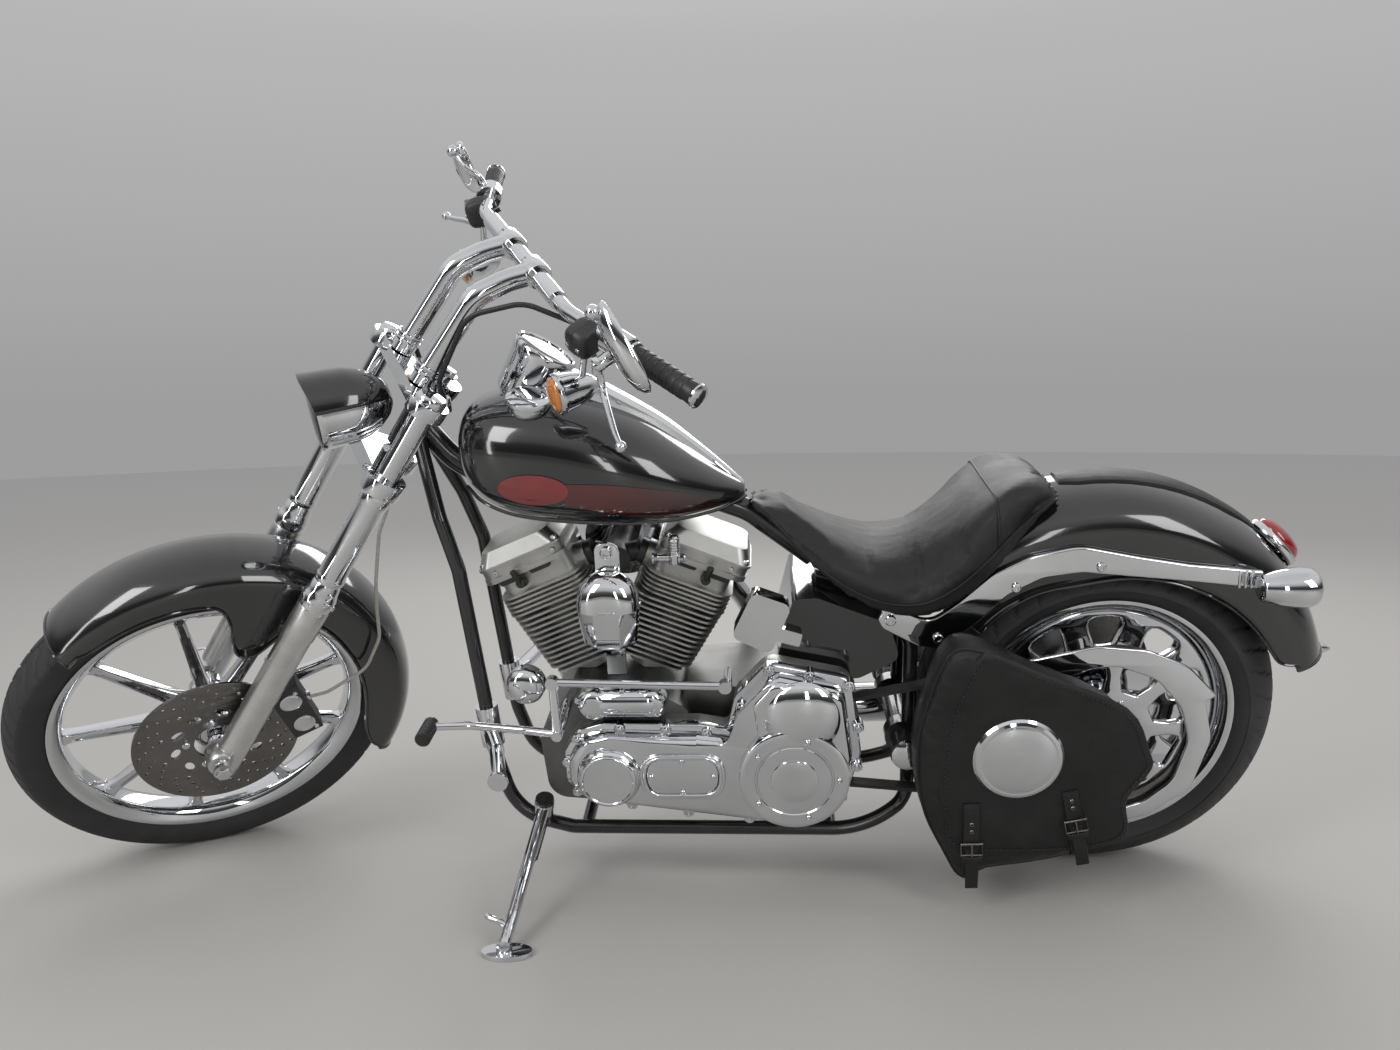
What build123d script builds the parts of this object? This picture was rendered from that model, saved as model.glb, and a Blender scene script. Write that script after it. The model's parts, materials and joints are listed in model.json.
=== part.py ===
from build123d import *
import math
import os

os.makedirs("parts", exist_ok=True)

# Every piece is drawn upright, in millimetres: X runs rearwards, Y to the rider's right, Z up,
# with the ground at z = 0. The last section leans the bike on its side stand.

# Stance: wheelbase, steering geometry and how the bike is parked
WHEELBASE = 1699.0
REAR_AXLE_X = 850.0
RAKE = 35.0
TRAIL_OFFSET = 75.0
LEAN = 12.0
STEER = 35.4
STEER_RANGE = 70.8

# Front wheel
FRONT_TYRE_R = 345.0
FRONT_CROWN_R = 58.0
FRONT_TYRE_HALF = 45.0
FRONT_FLANGE_R = 279.0
FRONT_RIM_HALF = 36.0
FRONT_WELL_R = 266.0
FRONT_SPOKES = 9
FRONT_DISC_R = 146.0
FRONT_DISC_Y = -84.0

# Rear wheel
REAR_TYRE_R = 326.0
REAR_CROWN_R = 105.0
REAR_TYRE_HALF = 98.0
REAR_FLANGE_R = 233.0
REAR_RIM_HALF = 84.0
REAR_WELL_R = 217.0
REAR_SLOTS = 10
SPROCKET_R = 150.0
PULLEY_R = 72.0
BELT_Y = -117.0
BELT_WIDTH = 24.0
BELT_THICK = 7.0
REAR_DISC_Y = 112.0
DISC_THICK = 6.0

# Fork
FORK_LEAD = 14.0
FORK_Y = 125.0
LEG_R = 29.0
TUBE_R = 20.6
LEG_TOP = 429.0
LOWER_TREE = 642.0
UPPER_TREE = 800.0
AXLE_R = 12.0
STEM_R = 16.0

# Clearances: between a turning part and its pin, and between curved faces that meet
PIN_GAP = 0.3
SEAT_GAP = 0.3

# Engine: two cylinders in a vee above the crank
CRANK = (-30.0, 0.0, 283.0)
VEE = 22.5
DECK = 150.0
BARREL_TOP = 300.0
HEAD_TOP = 388.0
ROCKER_TOP = 434.0
FIN_COUNT = 12
HEAD_FINS = 5

BASE = (Align.CENTER, Align.CENTER, Align.MIN)
SIDES = (-1, 1)

rake = math.radians(RAKE)
front_hub = Vector(REAR_AXLE_X - WHEELBASE, 0, FRONT_TYRE_R)
rear_hub = Vector(REAR_AXLE_X, 0, REAR_TYRE_R)
steer_dir = Vector(math.sin(rake), 0, math.cos(rake))
back_dir = Vector(math.cos(rake), 0, -math.sin(rake))
steer_base = front_hub + back_dir * TRAIL_OFFSET
crank = Vector(*CRANK)


def on_fork(along, y, back=FORK_LEAD):
    """Point at a height along the fork, measured from the front axle, at a side and a set-back."""
    return front_hub + steer_dir * along + back_dir * back + Vector(0, y, 0)


def ahead(x, y, z):
    """Point of the steered group, measured from the front axle."""
    return front_hub + Vector(x, y, z)


def ahead_outline(points):
    """Side-view outline of the steered group, measured from the front axle."""
    return [(front_hub.X + x, front_hub.Z + z) for x, z in points]


def rod(start, end, radius, tip=None):
    """Round bar from start to end, tapered where tip gives the radius at its far end."""
    start, end = Vector(start), Vector(end)
    length = (end - start).length
    with Locations(Plane(origin=start, z_dir=end - start)):
        if tip is None:
            Cylinder(radius, length, align=BASE)
        else:
            Cone(radius, tip, length, align=BASE)


def bore(start, end, radius):
    """Round hole from start to end."""
    start, end = Vector(start), Vector(end)
    with Locations(Plane(origin=start, z_dir=end - start)):
        Cylinder(radius, (end - start).length, align=BASE, mode=Mode.SUBTRACT)


def tube(points, bends, radius):
    """Bent round bar: straight runs joined by arcs of the radii in bends."""
    with BuildLine() as route:
        FilletPolyline(*points, radius=bends)
    with BuildSketch(Plane(origin=route.line @ 0, z_dir=route.line % 0)) as section:
        Circle(radius)
    sweep(section.sketch, path=route.line)


def plate(outline, corners, inner, outer, mode=Mode.ADD):
    """Piece with a side-view outline of (x, z) points, between y = inner and y = outer."""
    with BuildSketch(Plane.XZ.offset(-inner)) as section:
        with BuildLine():
            FilletPolyline(*outline, radius=corners, close=True)
        make_face()
    extrude(section.sketch, amount=inner - outer, mode=mode)


def spun(hub, profile, arc=360, start=90, mode=Mode.ADD):
    """Turned piece on a wheel's axle: profile is a list of (y, r), start and arc are in degrees."""
    angle = math.radians(start)
    seat = Plane(origin=hub, x_dir=(0, 1, 0), z_dir=(math.sin(angle), 0, -math.cos(angle)))
    with BuildSketch(seat) as section:
        with BuildLine():
            Polyline(*profile, close=True)
        make_face()
    revolve(section.sketch, axis=Axis(hub, (0, -1, 0)), revolution_arc=arc, mode=mode)


def crowned(hub, half, crown_r, tyre_r, side_r, bead_half, bead_r, inner_r):
    """Tyre: a round tread of radius crown_r, sidewalls that pull in to the bead."""
    shoulder = tyre_r - crown_r + math.sqrt(crown_r**2 - half**2)
    seat = Plane(origin=hub, x_dir=(0, 1, 0), z_dir=(1, 0, 0))
    with BuildSketch(seat) as section:
        with BuildLine():
            ThreePointArc((-half, shoulder), (0, tyre_r), (half, shoulder))
            Polyline(
                (half, shoulder),
                (half, side_r),
                (bead_half, bead_r),
                (bead_half, inner_r),
                (-bead_half, inner_r),
                (-bead_half, bead_r),
                (-half, side_r),
                (-half, shoulder),
            )
        make_face()
    revolve(section.sketch, axis=Axis(hub, (0, 1, 0)))


def loft_sections(sections):
    """Loft through (x, outline, corners) sections whose outlines are (y, z) points."""
    faces = []
    for x, outline, corner in sections:
        with BuildSketch(Plane.YZ.offset(x)) as section:
            with BuildLine():
                FilletPolyline(*outline, radius=corner, close=True)
            make_face()
        faces.append(section.sketch)
    loft(faces)


pieces = {}


def keep(builder, label, stance):
    """Note a finished piece and the stance it is parked in."""
    builder.part.label = label
    pieces[label] = (builder.part, stance)


# Front wheel: tyre, cast rim with thin spokes, one brake disc on the left

with BuildPart() as front_tyre:
    crowned(
        front_hub, FRONT_TYRE_HALF, FRONT_CROWN_R, FRONT_TYRE_R,
        side_r=303, bead_half=FRONT_RIM_HALF - 6, bead_r=FRONT_FLANGE_R + 2,
        inner_r=FRONT_WELL_R + SEAT_GAP,
    )
keep(front_tyre, "front_tyre", "steering")

FRONT_HUB_R = 34.0
FRONT_HUB_HALF = 72.0
FRONT_DROP_R = 252.0


def across(outwards, radius):
    """Plane across a front spoke at a radius."""
    return Plane(origin=front_hub + outwards * radius, x_dir=(0, 1, 0), z_dir=outwards)


with BuildPart() as front_rim:
    spun(front_hub, [
        (-FRONT_RIM_HALF, FRONT_DROP_R), (FRONT_RIM_HALF, FRONT_DROP_R),
        (FRONT_RIM_HALF, FRONT_FLANGE_R), (FRONT_RIM_HALF - 5, FRONT_FLANGE_R),
        (FRONT_RIM_HALF - 6 + SEAT_GAP, FRONT_WELL_R), (-FRONT_RIM_HALF + 6 - SEAT_GAP, FRONT_WELL_R),
        (-FRONT_RIM_HALF + 5, FRONT_FLANGE_R), (-FRONT_RIM_HALF, FRONT_FLANGE_R),
    ])
    rod(front_hub - Vector(0, FRONT_HUB_HALF, 0), front_hub + Vector(0, FRONT_HUB_HALF, 0), FRONT_HUB_R)
    disc_face = FRONT_DISC_Y + DISC_THICK / 2
    rod(ahead(0, disc_face, 0), ahead(0, disc_face + 14, 0), 66)
    for index in range(FRONT_SPOKES):
        turn = math.radians(90 + index * 360 / FRONT_SPOKES)
        outwards = Vector(math.cos(turn), 0, math.sin(turn))
        with BuildSketch(across(outwards, 28)) as root:
            RectangleRounded(48, 30, 8)
        with BuildSketch(across(outwards, FRONT_DROP_R + 3)) as tip:
            RectangleRounded(22, 18, 6)
        loft([root.sketch, tip.sketch])
        for face in SIDES:
            with BuildSketch(across(outwards, 66)) as inner_end:
                with Locations((face * 21.8, 0)):
                    Rectangle(9, 12)
            with BuildSketch(across(outwards, FRONT_DROP_R - 16)) as outer_end:
                with Locations((face * 12.1, 0)):
                    Rectangle(8, 8)
            loft([inner_end.sketch, outer_end.sketch], mode=Mode.SUBTRACT)
    bore(front_hub - Vector(0, 90, 0), front_hub + Vector(0, 90, 0), AXLE_R + PIN_GAP)
keep(front_rim, "front_rim", "steering")

DISC_WINDOWS = 10
# radius of a ring of holes, how many
DISC_HOLES = [(112, 16), (124, 16), (136, 16)]
with BuildPart() as front_disc:
    rod((front_hub.X, FRONT_DISC_Y - DISC_THICK / 2, front_hub.Z),
        (front_hub.X, FRONT_DISC_Y + DISC_THICK / 2, front_hub.Z), FRONT_DISC_R)
    bore((front_hub.X, FRONT_DISC_Y - 10, front_hub.Z), (front_hub.X, FRONT_DISC_Y + 10, front_hub.Z), 41)
    disc_plane = Plane(origin=ahead(0, FRONT_DISC_Y - DISC_THICK, 0), x_dir=(1, 0, 0), z_dir=(0, 1, 0))
    with BuildSketch(disc_plane) as openings:
        with PolarLocations(84, DISC_WINDOWS):
            Ellipse(9, 14)
        for radius, count in DISC_HOLES:
            with PolarLocations(radius, count, start_angle=radius):
                Circle(3.5)
    extrude(openings.sketch, amount=2 * DISC_THICK, mode=Mode.SUBTRACT)
keep(front_disc, "front_disc", "steering")

# Rear wheel: wide tyre, slotted rim, brake disc on the right and belt sprocket on the left

with BuildPart() as rear_tyre:
    crowned(
        rear_hub, REAR_TYRE_HALF, REAR_CROWN_R, REAR_TYRE_R,
        side_r=256, bead_half=REAR_RIM_HALF - 7, bead_r=REAR_FLANGE_R + 2,
        inner_r=REAR_WELL_R + SEAT_GAP,
    )
keep(rear_tyre, "rear_tyre", "parked")

REAR_HUB_HALF = 96.0
with BuildPart() as rear_rim:
    spun(rear_hub, [
        (-REAR_RIM_HALF, 204), (REAR_RIM_HALF, 204),
        (REAR_RIM_HALF, REAR_FLANGE_R), (REAR_RIM_HALF - 6, REAR_FLANGE_R),
        (REAR_RIM_HALF - 7 + SEAT_GAP, REAR_WELL_R), (-REAR_RIM_HALF + 7 - SEAT_GAP, REAR_WELL_R),
        (-REAR_RIM_HALF + 6, REAR_FLANGE_R), (-REAR_RIM_HALF, REAR_FLANGE_R),
    ])
    spun(rear_hub, [(-55, 40), (-30, 40), (-22, 206), (-62, 206), (-74, 150), (-74, 40)])
    rod(rear_hub - Vector(0, REAR_HUB_HALF, 0), rear_hub + Vector(0, REAR_HUB_HALF, 0), 44)
    for index in range(REAR_SLOTS):
        turn = 360 * index / REAR_SLOTS
        seat = Plane(origin=rear_hub - Vector(0, 80, 0), x_dir=(1, 0, 0), z_dir=(0, 1, 0))
        with BuildSketch(seat) as slot:
            with PolarLocations(158, 1, start_angle=turn):
                RectangleRounded(74, 62, 22)
        extrude(slot.sketch, amount=80, mode=Mode.SUBTRACT)
    bore(rear_hub - Vector(0, 120, 0), rear_hub + Vector(0, 120, 0), AXLE_R + PIN_GAP)
keep(rear_rim, "rear_rim", "parked")

with BuildPart() as rear_disc:
    spun(rear_hub, [(REAR_HUB_HALF, 44), (REAR_HUB_HALF, 62), (REAR_DISC_Y - 3, 62), (REAR_DISC_Y - 3, 146),
                    (REAR_DISC_Y + 3, 146), (REAR_DISC_Y + 3, 44)])
keep(rear_disc, "rear_disc", "parked")

with BuildPart() as rear_sprocket:
    spun(rear_hub, [(-REAR_HUB_HALF, 44), (-REAR_HUB_HALF, 70), (BELT_Y + 7, 132), (BELT_Y + 13, 132),
                    (BELT_Y + 13, SPROCKET_R), (BELT_Y - 13, SPROCKET_R), (BELT_Y - 13, 132),
                    (BELT_Y - 7, 132), (BELT_Y - 7, 44)])
    seat = Plane(origin=(rear_hub.X, BELT_Y - 15, rear_hub.Z), x_dir=(1, 0, 0), z_dir=(0, 1, 0))
    with BuildSketch(seat) as holes:
        with PolarLocations(100, 8):
            RectangleRounded(46, 40, 14)
    extrude(holes.sketch, amount=45, mode=Mode.SUBTRACT)
keep(rear_sprocket, "rear_sprocket", "parked")

# Axles

LEG_HALF = LEG_R - 3 + SEAT_GAP
with BuildPart() as front_axle:
    rod(ahead(0, -FORK_Y - LEG_HALF - 2, 0), ahead(0, FORK_Y + LEG_HALF + 2, 0), AXLE_R)
    for side, hub_end in ((-1, -disc_face), (1, FRONT_HUB_HALF)):
        rod(front_hub + Vector(0, side * (hub_end + PIN_GAP), 0),
            front_hub + Vector(0, side * (FORK_Y - LEG_HALF), 0), 18)
        rod(front_hub + Vector(0, side * (FORK_Y + LEG_HALF), 0),
            front_hub + Vector(0, side * (FORK_Y + LEG_HALF + 12), 0), 16)
keep(front_axle, "front_axle", "steering")

ARM_Y = 148.0
ARM_BOSS = 14.0
with BuildPart() as rear_axle:
    rod(rear_hub - Vector(0, ARM_Y + 22, 0), rear_hub + Vector(0, ARM_Y + 22, 0), AXLE_R)
    for side in SIDES:
        rod(rear_hub + Vector(0, side * 119, 0),
            rear_hub + Vector(0, side * (ARM_Y - ARM_BOSS - SEAT_GAP), 0), 20)
        rod(rear_hub + Vector(0, side * (ARM_Y + ARM_BOSS + SEAT_GAP), 0),
            rear_hub + Vector(0, side * (ARM_Y + 26), 0), 19)
keep(rear_axle, "rear_axle", "parked")

# Fork: lower legs, chrome tubes and the two yokes

LEG_BOTTOM = -36.0
with BuildPart() as fork_legs:
    for side in SIDES:
        y = side * FORK_Y
        rod(on_fork(LEG_BOTTOM, y), on_fork(LEG_TOP - 60, y), LEG_R - 3)
        rod(on_fork(LEG_TOP - 120, y), on_fork(LEG_TOP - 25, y), LEG_R + 1)
        rod(on_fork(LEG_TOP - 25, y), on_fork(LEG_TOP, y), LEG_R + 1, LEG_R - 4)
        rod(front_hub + Vector(0, y - 24, 0), front_hub + Vector(0, y + 24, 0), 27)
        bore(front_hub + Vector(0, y - 40, 0), front_hub + Vector(0, y + 40, 0), AXLE_R + SEAT_GAP)
        bore(on_fork(120, y), on_fork(LEG_TOP + 5, y), TUBE_R + SEAT_GAP)
keep(fork_legs, "fork_legs", "steering")

with BuildPart() as fork_tubes:
    for side in SIDES:
        rod(on_fork(140, side * FORK_Y), on_fork(UPPER_TREE + 14, side * FORK_Y), TUBE_R)
keep(fork_tubes, "fork_tubes", "steering")

with BuildPart() as triple_trees:
    for level, thick, deep in ((LOWER_TREE, 30, 40), (UPPER_TREE, 24, 46)):
        seat = Plane(origin=on_fork(level - thick / 2, 0), x_dir=(0, 1, 0), z_dir=steer_dir)
        with BuildSketch(seat) as yoke:
            Rectangle(2 * FORK_Y, deep)
            with Locations((-FORK_Y, 0), (FORK_Y, 0)):
                Circle(34)
            with Locations((0, -(TRAIL_OFFSET - FORK_LEAD))):
                Circle(40)
            with Locations((0, -(TRAIL_OFFSET - FORK_LEAD) / 2)):
                Rectangle(80, TRAIL_OFFSET - FORK_LEAD)
        extrude(yoke.sketch, amount=thick)
        for side in SIDES:
            bore(on_fork(level - 40, side * FORK_Y), on_fork(level + 40, side * FORK_Y), TUBE_R + SEAT_GAP)
    rod(on_fork(LOWER_TREE, 0, TRAIL_OFFSET), on_fork(UPPER_TREE + 24, 0, TRAIL_OFFSET), STEM_R)
keep(triple_trees, "triple_trees", "steering")

# Handlebar on tall pulled-back risers

BAR_R = 16.0
BAR_END_R = 12.5
BEND_TO_GRIP = 150.0
RISER_Y = 60.0
RISER_R = 20.0
GRIP_START = ahead(747, 350, 803)
GRIP_END = ahead(794, 469, 788)
grip_dir = (GRIP_END - GRIP_START).normalized()
bar_bend = GRIP_START - grip_dir * BEND_TO_GRIP


def mirrored(point, side):
    """The same point on the left (side = -1) or right (side = 1)."""
    return Vector(point.X, side * point.Y, point.Z)


with BuildPart() as risers:
    for side in SIDES:
        tube([on_fork(UPPER_TREE + 13.5, side * RISER_Y), ahead(587, side * RISER_Y, 797),
              ahead(644, side * RISER_Y, 815),
              (bar_bend.X, side * RISER_Y, bar_bend.Z)], [60, 120], RISER_R)
    bore((bar_bend.X, -120, bar_bend.Z), (bar_bend.X, 120, bar_bend.Z), BAR_R + SEAT_GAP)
keep(risers, "risers", "steering")

with BuildPart() as handlebar:
    tip = GRIP_END + grip_dir * 6
    tube([mirrored(tip, -1), mirrored(bar_bend, -1), bar_bend, tip], [70, 70], BAR_END_R)
    rod((bar_bend.X, -170, bar_bend.Z), (bar_bend.X, 170, bar_bend.Z), BAR_R)
keep(handlebar, "handlebar", "steering")

with BuildPart() as grips:
    for side in SIDES:
        start, end = mirrored(GRIP_START, side), mirrored(GRIP_END, side)
        rod(start, end, 18)
        bore(start, end, BAR_END_R + SEAT_GAP)
keep(grips, "grips", "steering")

CLAMP_R = 24.0
with BuildPart() as hand_controls:
    for side in SIDES:
        along = mirrored(grip_dir, side)
        clamp = mirrored(GRIP_START - grip_dir * 62, side)
        rod(clamp, clamp + along * 56, CLAMP_R)
        bore(clamp, clamp + along * 60, BAR_END_R + SEAT_GAP)
        pivot = clamp + Vector(-44, 0, -20) + along * 38
        rod(clamp + Vector(-24, 0, -11) + along * 38, pivot, 12)
        tube([pivot, mirrored(ahead(699, 335, 753), side), mirrored(ahead(687, 385, 739), side),
              mirrored(ahead(678, 450, 722), side)], [30, 60], 6)
keep(hand_controls, "hand_controls", "steering")

SWITCH_SHIFT = 92.0
with BuildPart() as switch_boxes:
    for side in SIDES:
        along = mirrored(grip_dir, side)
        at = mirrored(GRIP_START - grip_dir * SWITCH_SHIFT, side)
        with Locations(Plane(origin=at + Vector(-14, 0, -14), x_dir=(1, 0, 0.2), z_dir=along)):
            Box(56, 54, 44)
        bore(at - along * 40, at + along * 40, BAR_END_R + SEAT_GAP)
        bore(mirrored(bar_bend, side), mirrored(bar_bend, side) + along * 40, BAR_R + SEAT_GAP)
keep(switch_boxes, "switch_boxes", "steering")

MIRROR_LONG = 75.0
MIRROR_WIDE = 38.0
with BuildPart() as mirrors:
    for side in SIDES:
        base = mirrored(GRIP_START - grip_dir * 34, side) + Vector(-6, 0, 18)
        centre = mirrored(ahead(710, 386, 840), side)
        down = Vector(0.28, 0.54 * side, -0.79).normalized()
        ball = centre - down * 62
        rod(base, ball, 5)
        face = Plane(origin=centre, x_dir=down, z_dir=Vector(0.94, 0, 0.33))
        with BuildSketch(face.offset(-16)) as back:
            SlotOverall(MIRROR_LONG * 1.5, MIRROR_WIDE * 1.3)
        with BuildSketch(face.offset(9)) as front:
            SlotOverall(MIRROR_LONG * 2, MIRROR_WIDE * 2)
        loft([back.sketch, front.sketch])
        bore(base - mirrored(grip_dir * 40, side) - Vector(-6, 0, 18),
             base + mirrored(grip_dir * 40, side) - Vector(-6, 0, 18), CLAMP_R + SEAT_GAP)
keep(mirrors, "mirrors", "steering")

# Headlamp and front signals

# x from the front axle, radius, height of the centre
LAMP = [(301, 68, 605), (329, 70, 609), (379, 61, 611), (419, 38, 611), (437, 16, 611)]
with BuildPart() as headlamp:
    faces = []
    for x, radius, rise in LAMP:
        with BuildSketch(Plane.YZ.offset(front_hub.X + x)) as section:
            with Locations((0, front_hub.Z + rise)):
                Circle(radius)
        faces.append(section.sketch)
    loft(faces)
    rod(on_fork(LOWER_TREE + 15 + SEAT_GAP, 0), on_fork(LOWER_TREE + 78, 0), 12)
keep(headlamp, "headlamp", "steering")

SIGNAL_R = 33.0
with BuildPart() as front_signals:
    for side in SIDES:
        lens = ahead(651, side * 252, 701)
        rearwards = Vector(12, 0, 1).normalized()
        rod(lens, lens + rearwards * 48, SIGNAL_R, SIGNAL_R - 8)
        rod(lens + rearwards * 48, lens + rearwards * 76, SIGNAL_R - 8, 8)
        rod(lens + Vector(44, 0, 8), mirrored(GRIP_START - grip_dir * SWITCH_SHIFT, side) - Vector(12, 0, 28), 6)
    add(switch_boxes.part, mode=Mode.SUBTRACT)
keep(front_signals, "front_signals", "steering")

# Front fender: a flared shell on an arc, with ears down to the fork legs

FENDER_HUB = ahead(11, 0, 12)
FENDER_R = 372.0
SHEET = 3.0
EAR_Y = 76.0


def shell_profile(half, crown, shoulder, skirt, wall):
    """Half-round fender section as (y, r) points, wall thick."""
    outer = [(-half, skirt), (-half, shoulder), (-half * 0.72, crown - 12), (0, crown),
             (half * 0.72, crown - 12), (half, shoulder), (half, skirt)]
    thin = half - wall
    inner = [(thin, skirt), (thin, shoulder - wall), (thin * 0.72, crown - 12 - wall), (0, crown - wall),
             (-thin * 0.72, crown - 12 - wall), (-thin, shoulder - wall), (-thin, skirt)]
    return outer + inner


with BuildPart() as front_fender:
    spun(FENDER_HUB, shell_profile(78, FENDER_R, 340, 300, SHEET), arc=159, start=-33)
    for side in SIDES:
        near, far = (75, 78) if side > 0 else (-78, -75)
        plate(ahead_outline([(89, 295), (104, 175), (149, 145), (184, 155), (249, 255)]), 20, near, far)
        for along in (215, 275):
            eye = on_fork(along, side * 77)
            rod(eye, Vector(eye.X, side * (FORK_Y - LEG_R + 3 - SEAT_GAP), eye.Z), 10)
keep(front_fender, "front_fender", "steering")

with BuildPart() as front_caliper:
    out = Vector(math.cos(math.radians(12)), 0, math.sin(math.radians(12)))
    cal = front_hub + out * 150 + Vector(0, FRONT_DISC_Y, 0)
    with Locations(Plane(origin=cal, x_dir=out, z_dir=(0, 1, 0))):
        Box(56, 128, 46)
    spun(front_hub, [(FRONT_DISC_Y - 4, 60), (FRONT_DISC_Y - 4, FRONT_DISC_R + 5),
                     (FRONT_DISC_Y + 4, FRONT_DISC_R + 5), (FRONT_DISC_Y + 4, 60)], mode=Mode.SUBTRACT)
keep(front_caliper, "front_caliper", "steering")

# Brake hose, from the lower yoke to the caliper, and two control cables, from the levers to the yoke

HOSE_R = 3.2
HOSE = [ahead(397, -88, 467), ahead(361, -96, 397), ahead(337, -118, 310), ahead(329, -112, 240),
        ahead(325, -100, 155), ahead(289, -94, 80), ahead(209, -96, 51), ahead(173, -92, 50)]
HOSE_BENDS = [80, 80, 80, 80, 50, 40]
CABLE_R = 4.5
CABLE_BENDS = [40, 60, 70, 36]
# height where it leaves the yoke and of its highest run, from the front axle
CABLES = [(613, 798), (595, 763)]
with BuildPart() as brake_hose:
    tube(HOSE, HOSE_BENDS, HOSE_R)
keep(brake_hose, "brake_hose", "steering")
print("brake hose: radius", HOSE_R, "bends", HOSE_BENDS)
print("control cables: radius", CABLE_R, "bends", CABLE_BENDS)

with BuildPart() as control_cables:
    for side, (low, top) in zip(SIDES, CABLES):
        tube([ahead(515, side * 76, low), ahead(503, side * 84, 665), ahead(559, side * 100, top - 12),
              ahead(644, side * 140, top + 14), ahead(721, side * 196, top - 16), ahead(733, side * 236, 725)],
             CABLE_BENDS, CABLE_R)
keep(control_cables, "control_cables", "steering")

# Frame: steering head, backbone, twin downtubes and cradle, rear rails

BACKBONE_R = 21.0
HEAD_TUBE_R = 31.0
HEAD_LOW = LOWER_TREE + 24
HEAD_HIGH = UPPER_TREE - 20
with BuildPart() as frame_backbone:
    rod(on_fork(HEAD_LOW, 0, TRAIL_OFFSET), on_fork(HEAD_HIGH, 0, TRAIL_OFFSET), HEAD_TUBE_R)
    head = on_fork((HEAD_LOW + HEAD_HIGH) / 2, 0, TRAIL_OFFSET)
    tube([head, (head.X + 73, 0, 800), (150, 0, 737), (215, 0, 712), (330, 0, 622)], 120, BACKBONE_R)
    bore(on_fork(HEAD_LOW - 5, 0, TRAIL_OFFSET), on_fork(HEAD_HIGH + 5, 0, TRAIL_OFFSET), STEM_R + PIN_GAP)
keep(frame_backbone, "frame_backbone", "parked")

UPRIGHT_Y = 86.0
BAG_POSTS = (590, 740)
BAG_INNER = -176.0
CRADLE_R = 13.0
ARM_PIVOT_X = 488.0
with BuildPart() as frame_cradle:
    for side in SIDES:
        tube([on_fork(HEAD_HIGH - 62, side * 12, TRAIL_OFFSET), (head.X + 43, side * 80, 735),
              (head.X + 70, side * 92, 640), (-272, side * 95, 270),
              (-240, side * 105, 145), (-130, side * 120, 124), (430, side * 120, 118),
              (500, side * UPRIGHT_Y, 165), (500, side * UPRIGHT_Y, 480), (474, side * 98, 575),
              (345, side * 30, 609)],
             [50, 60, 200, 100, 60, 200, 50, 50, 50], CRADLE_R)
        rod((ARM_PIVOT_X, side * (UPRIGHT_Y - 14), 300), (ARM_PIVOT_X, side * (UPRIGHT_Y + 14), 300), 32)
        bore((ARM_PIVOT_X, side * 60, 300), (ARM_PIVOT_X, side * 120, 300), 22 + SEAT_GAP)
    bore(on_fork(HEAD_LOW, 0, TRAIL_OFFSET), on_fork(HEAD_HIGH, 0, TRAIL_OFFSET), HEAD_TUBE_R + SEAT_GAP)
    add(frame_backbone.part, mode=Mode.SUBTRACT)
    rod((-105, -119, 122), (-105, 119, 122), 12)
    rod((355, -118, 118), (355, 118, 118), 12)
    plate([(-116, 122), (-90, 122), (-90, 193), (-116, 195)], [1, 1, 1, 1], 30, -30)
    plate([(340, 118), (370, 118), (370, 199.7), (340, 199.7)], [1, 1, 1, 1], 30, -30)
keep(frame_cradle, "frame_cradle", "parked")

with BuildPart() as swingarm:
    for side in SIDES:
        y = side * ARM_Y
        tube([(ARM_PIVOT_X, y, 300), (660, y, 300), (rear_hub.X, y, rear_hub.Z)], [300], 14)
        rod((rear_hub.X, y - ARM_BOSS, rear_hub.Z), (rear_hub.X, y + ARM_BOSS, rear_hub.Z), 30)
        bore((rear_hub.X, y - 30, rear_hub.Z), (rear_hub.X, y + 30, rear_hub.Z), AXLE_R + SEAT_GAP)
    rod((ARM_PIVOT_X, -ARM_Y - 12, 300), (ARM_PIVOT_X, ARM_Y + 12, 300), 22)
    for x in BAG_POSTS:
        rod((x, -ARM_Y, 304), (x, BAG_INNER + SEAT_GAP, 304), 9)
keep(swingarm, "swingarm", "parked")

# Engine: crankcase, cylinders, heads, rocker boxes

with BuildPart() as crankcase:
    plate([(-165, 200), (60, 180), (110, 260), (100, 380), (20, 425), (-110, 425), (-175, 330)],
          [40, 30, 30, 30, 20, 20, 40], 88, -134)
keep(crankcase, "crankcase", "parked")


def vee_plane(side, distance):
    """Plane across a cylinder (side = -1 front, 1 rear) at a distance from the crank."""
    lean = math.radians(VEE)
    direction = Vector(side * math.sin(lean), 0, math.cos(lean))
    return Plane(origin=crank + direction * distance, x_dir=(0, 1, 0), z_dir=direction)


def vee_block(side, distance, long, outer, inner, corner, thick):
    """Layer of a cylinder: long across the bike, reaching outer and inner from the cylinder's middle."""
    with BuildSketch(vee_plane(side, distance)) as layer:
        with Locations((0, -side * (outer - inner) / 2)):
            RectangleRounded(long, outer + inner, corner)
    extrude(layer.sketch, amount=thick)


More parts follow.
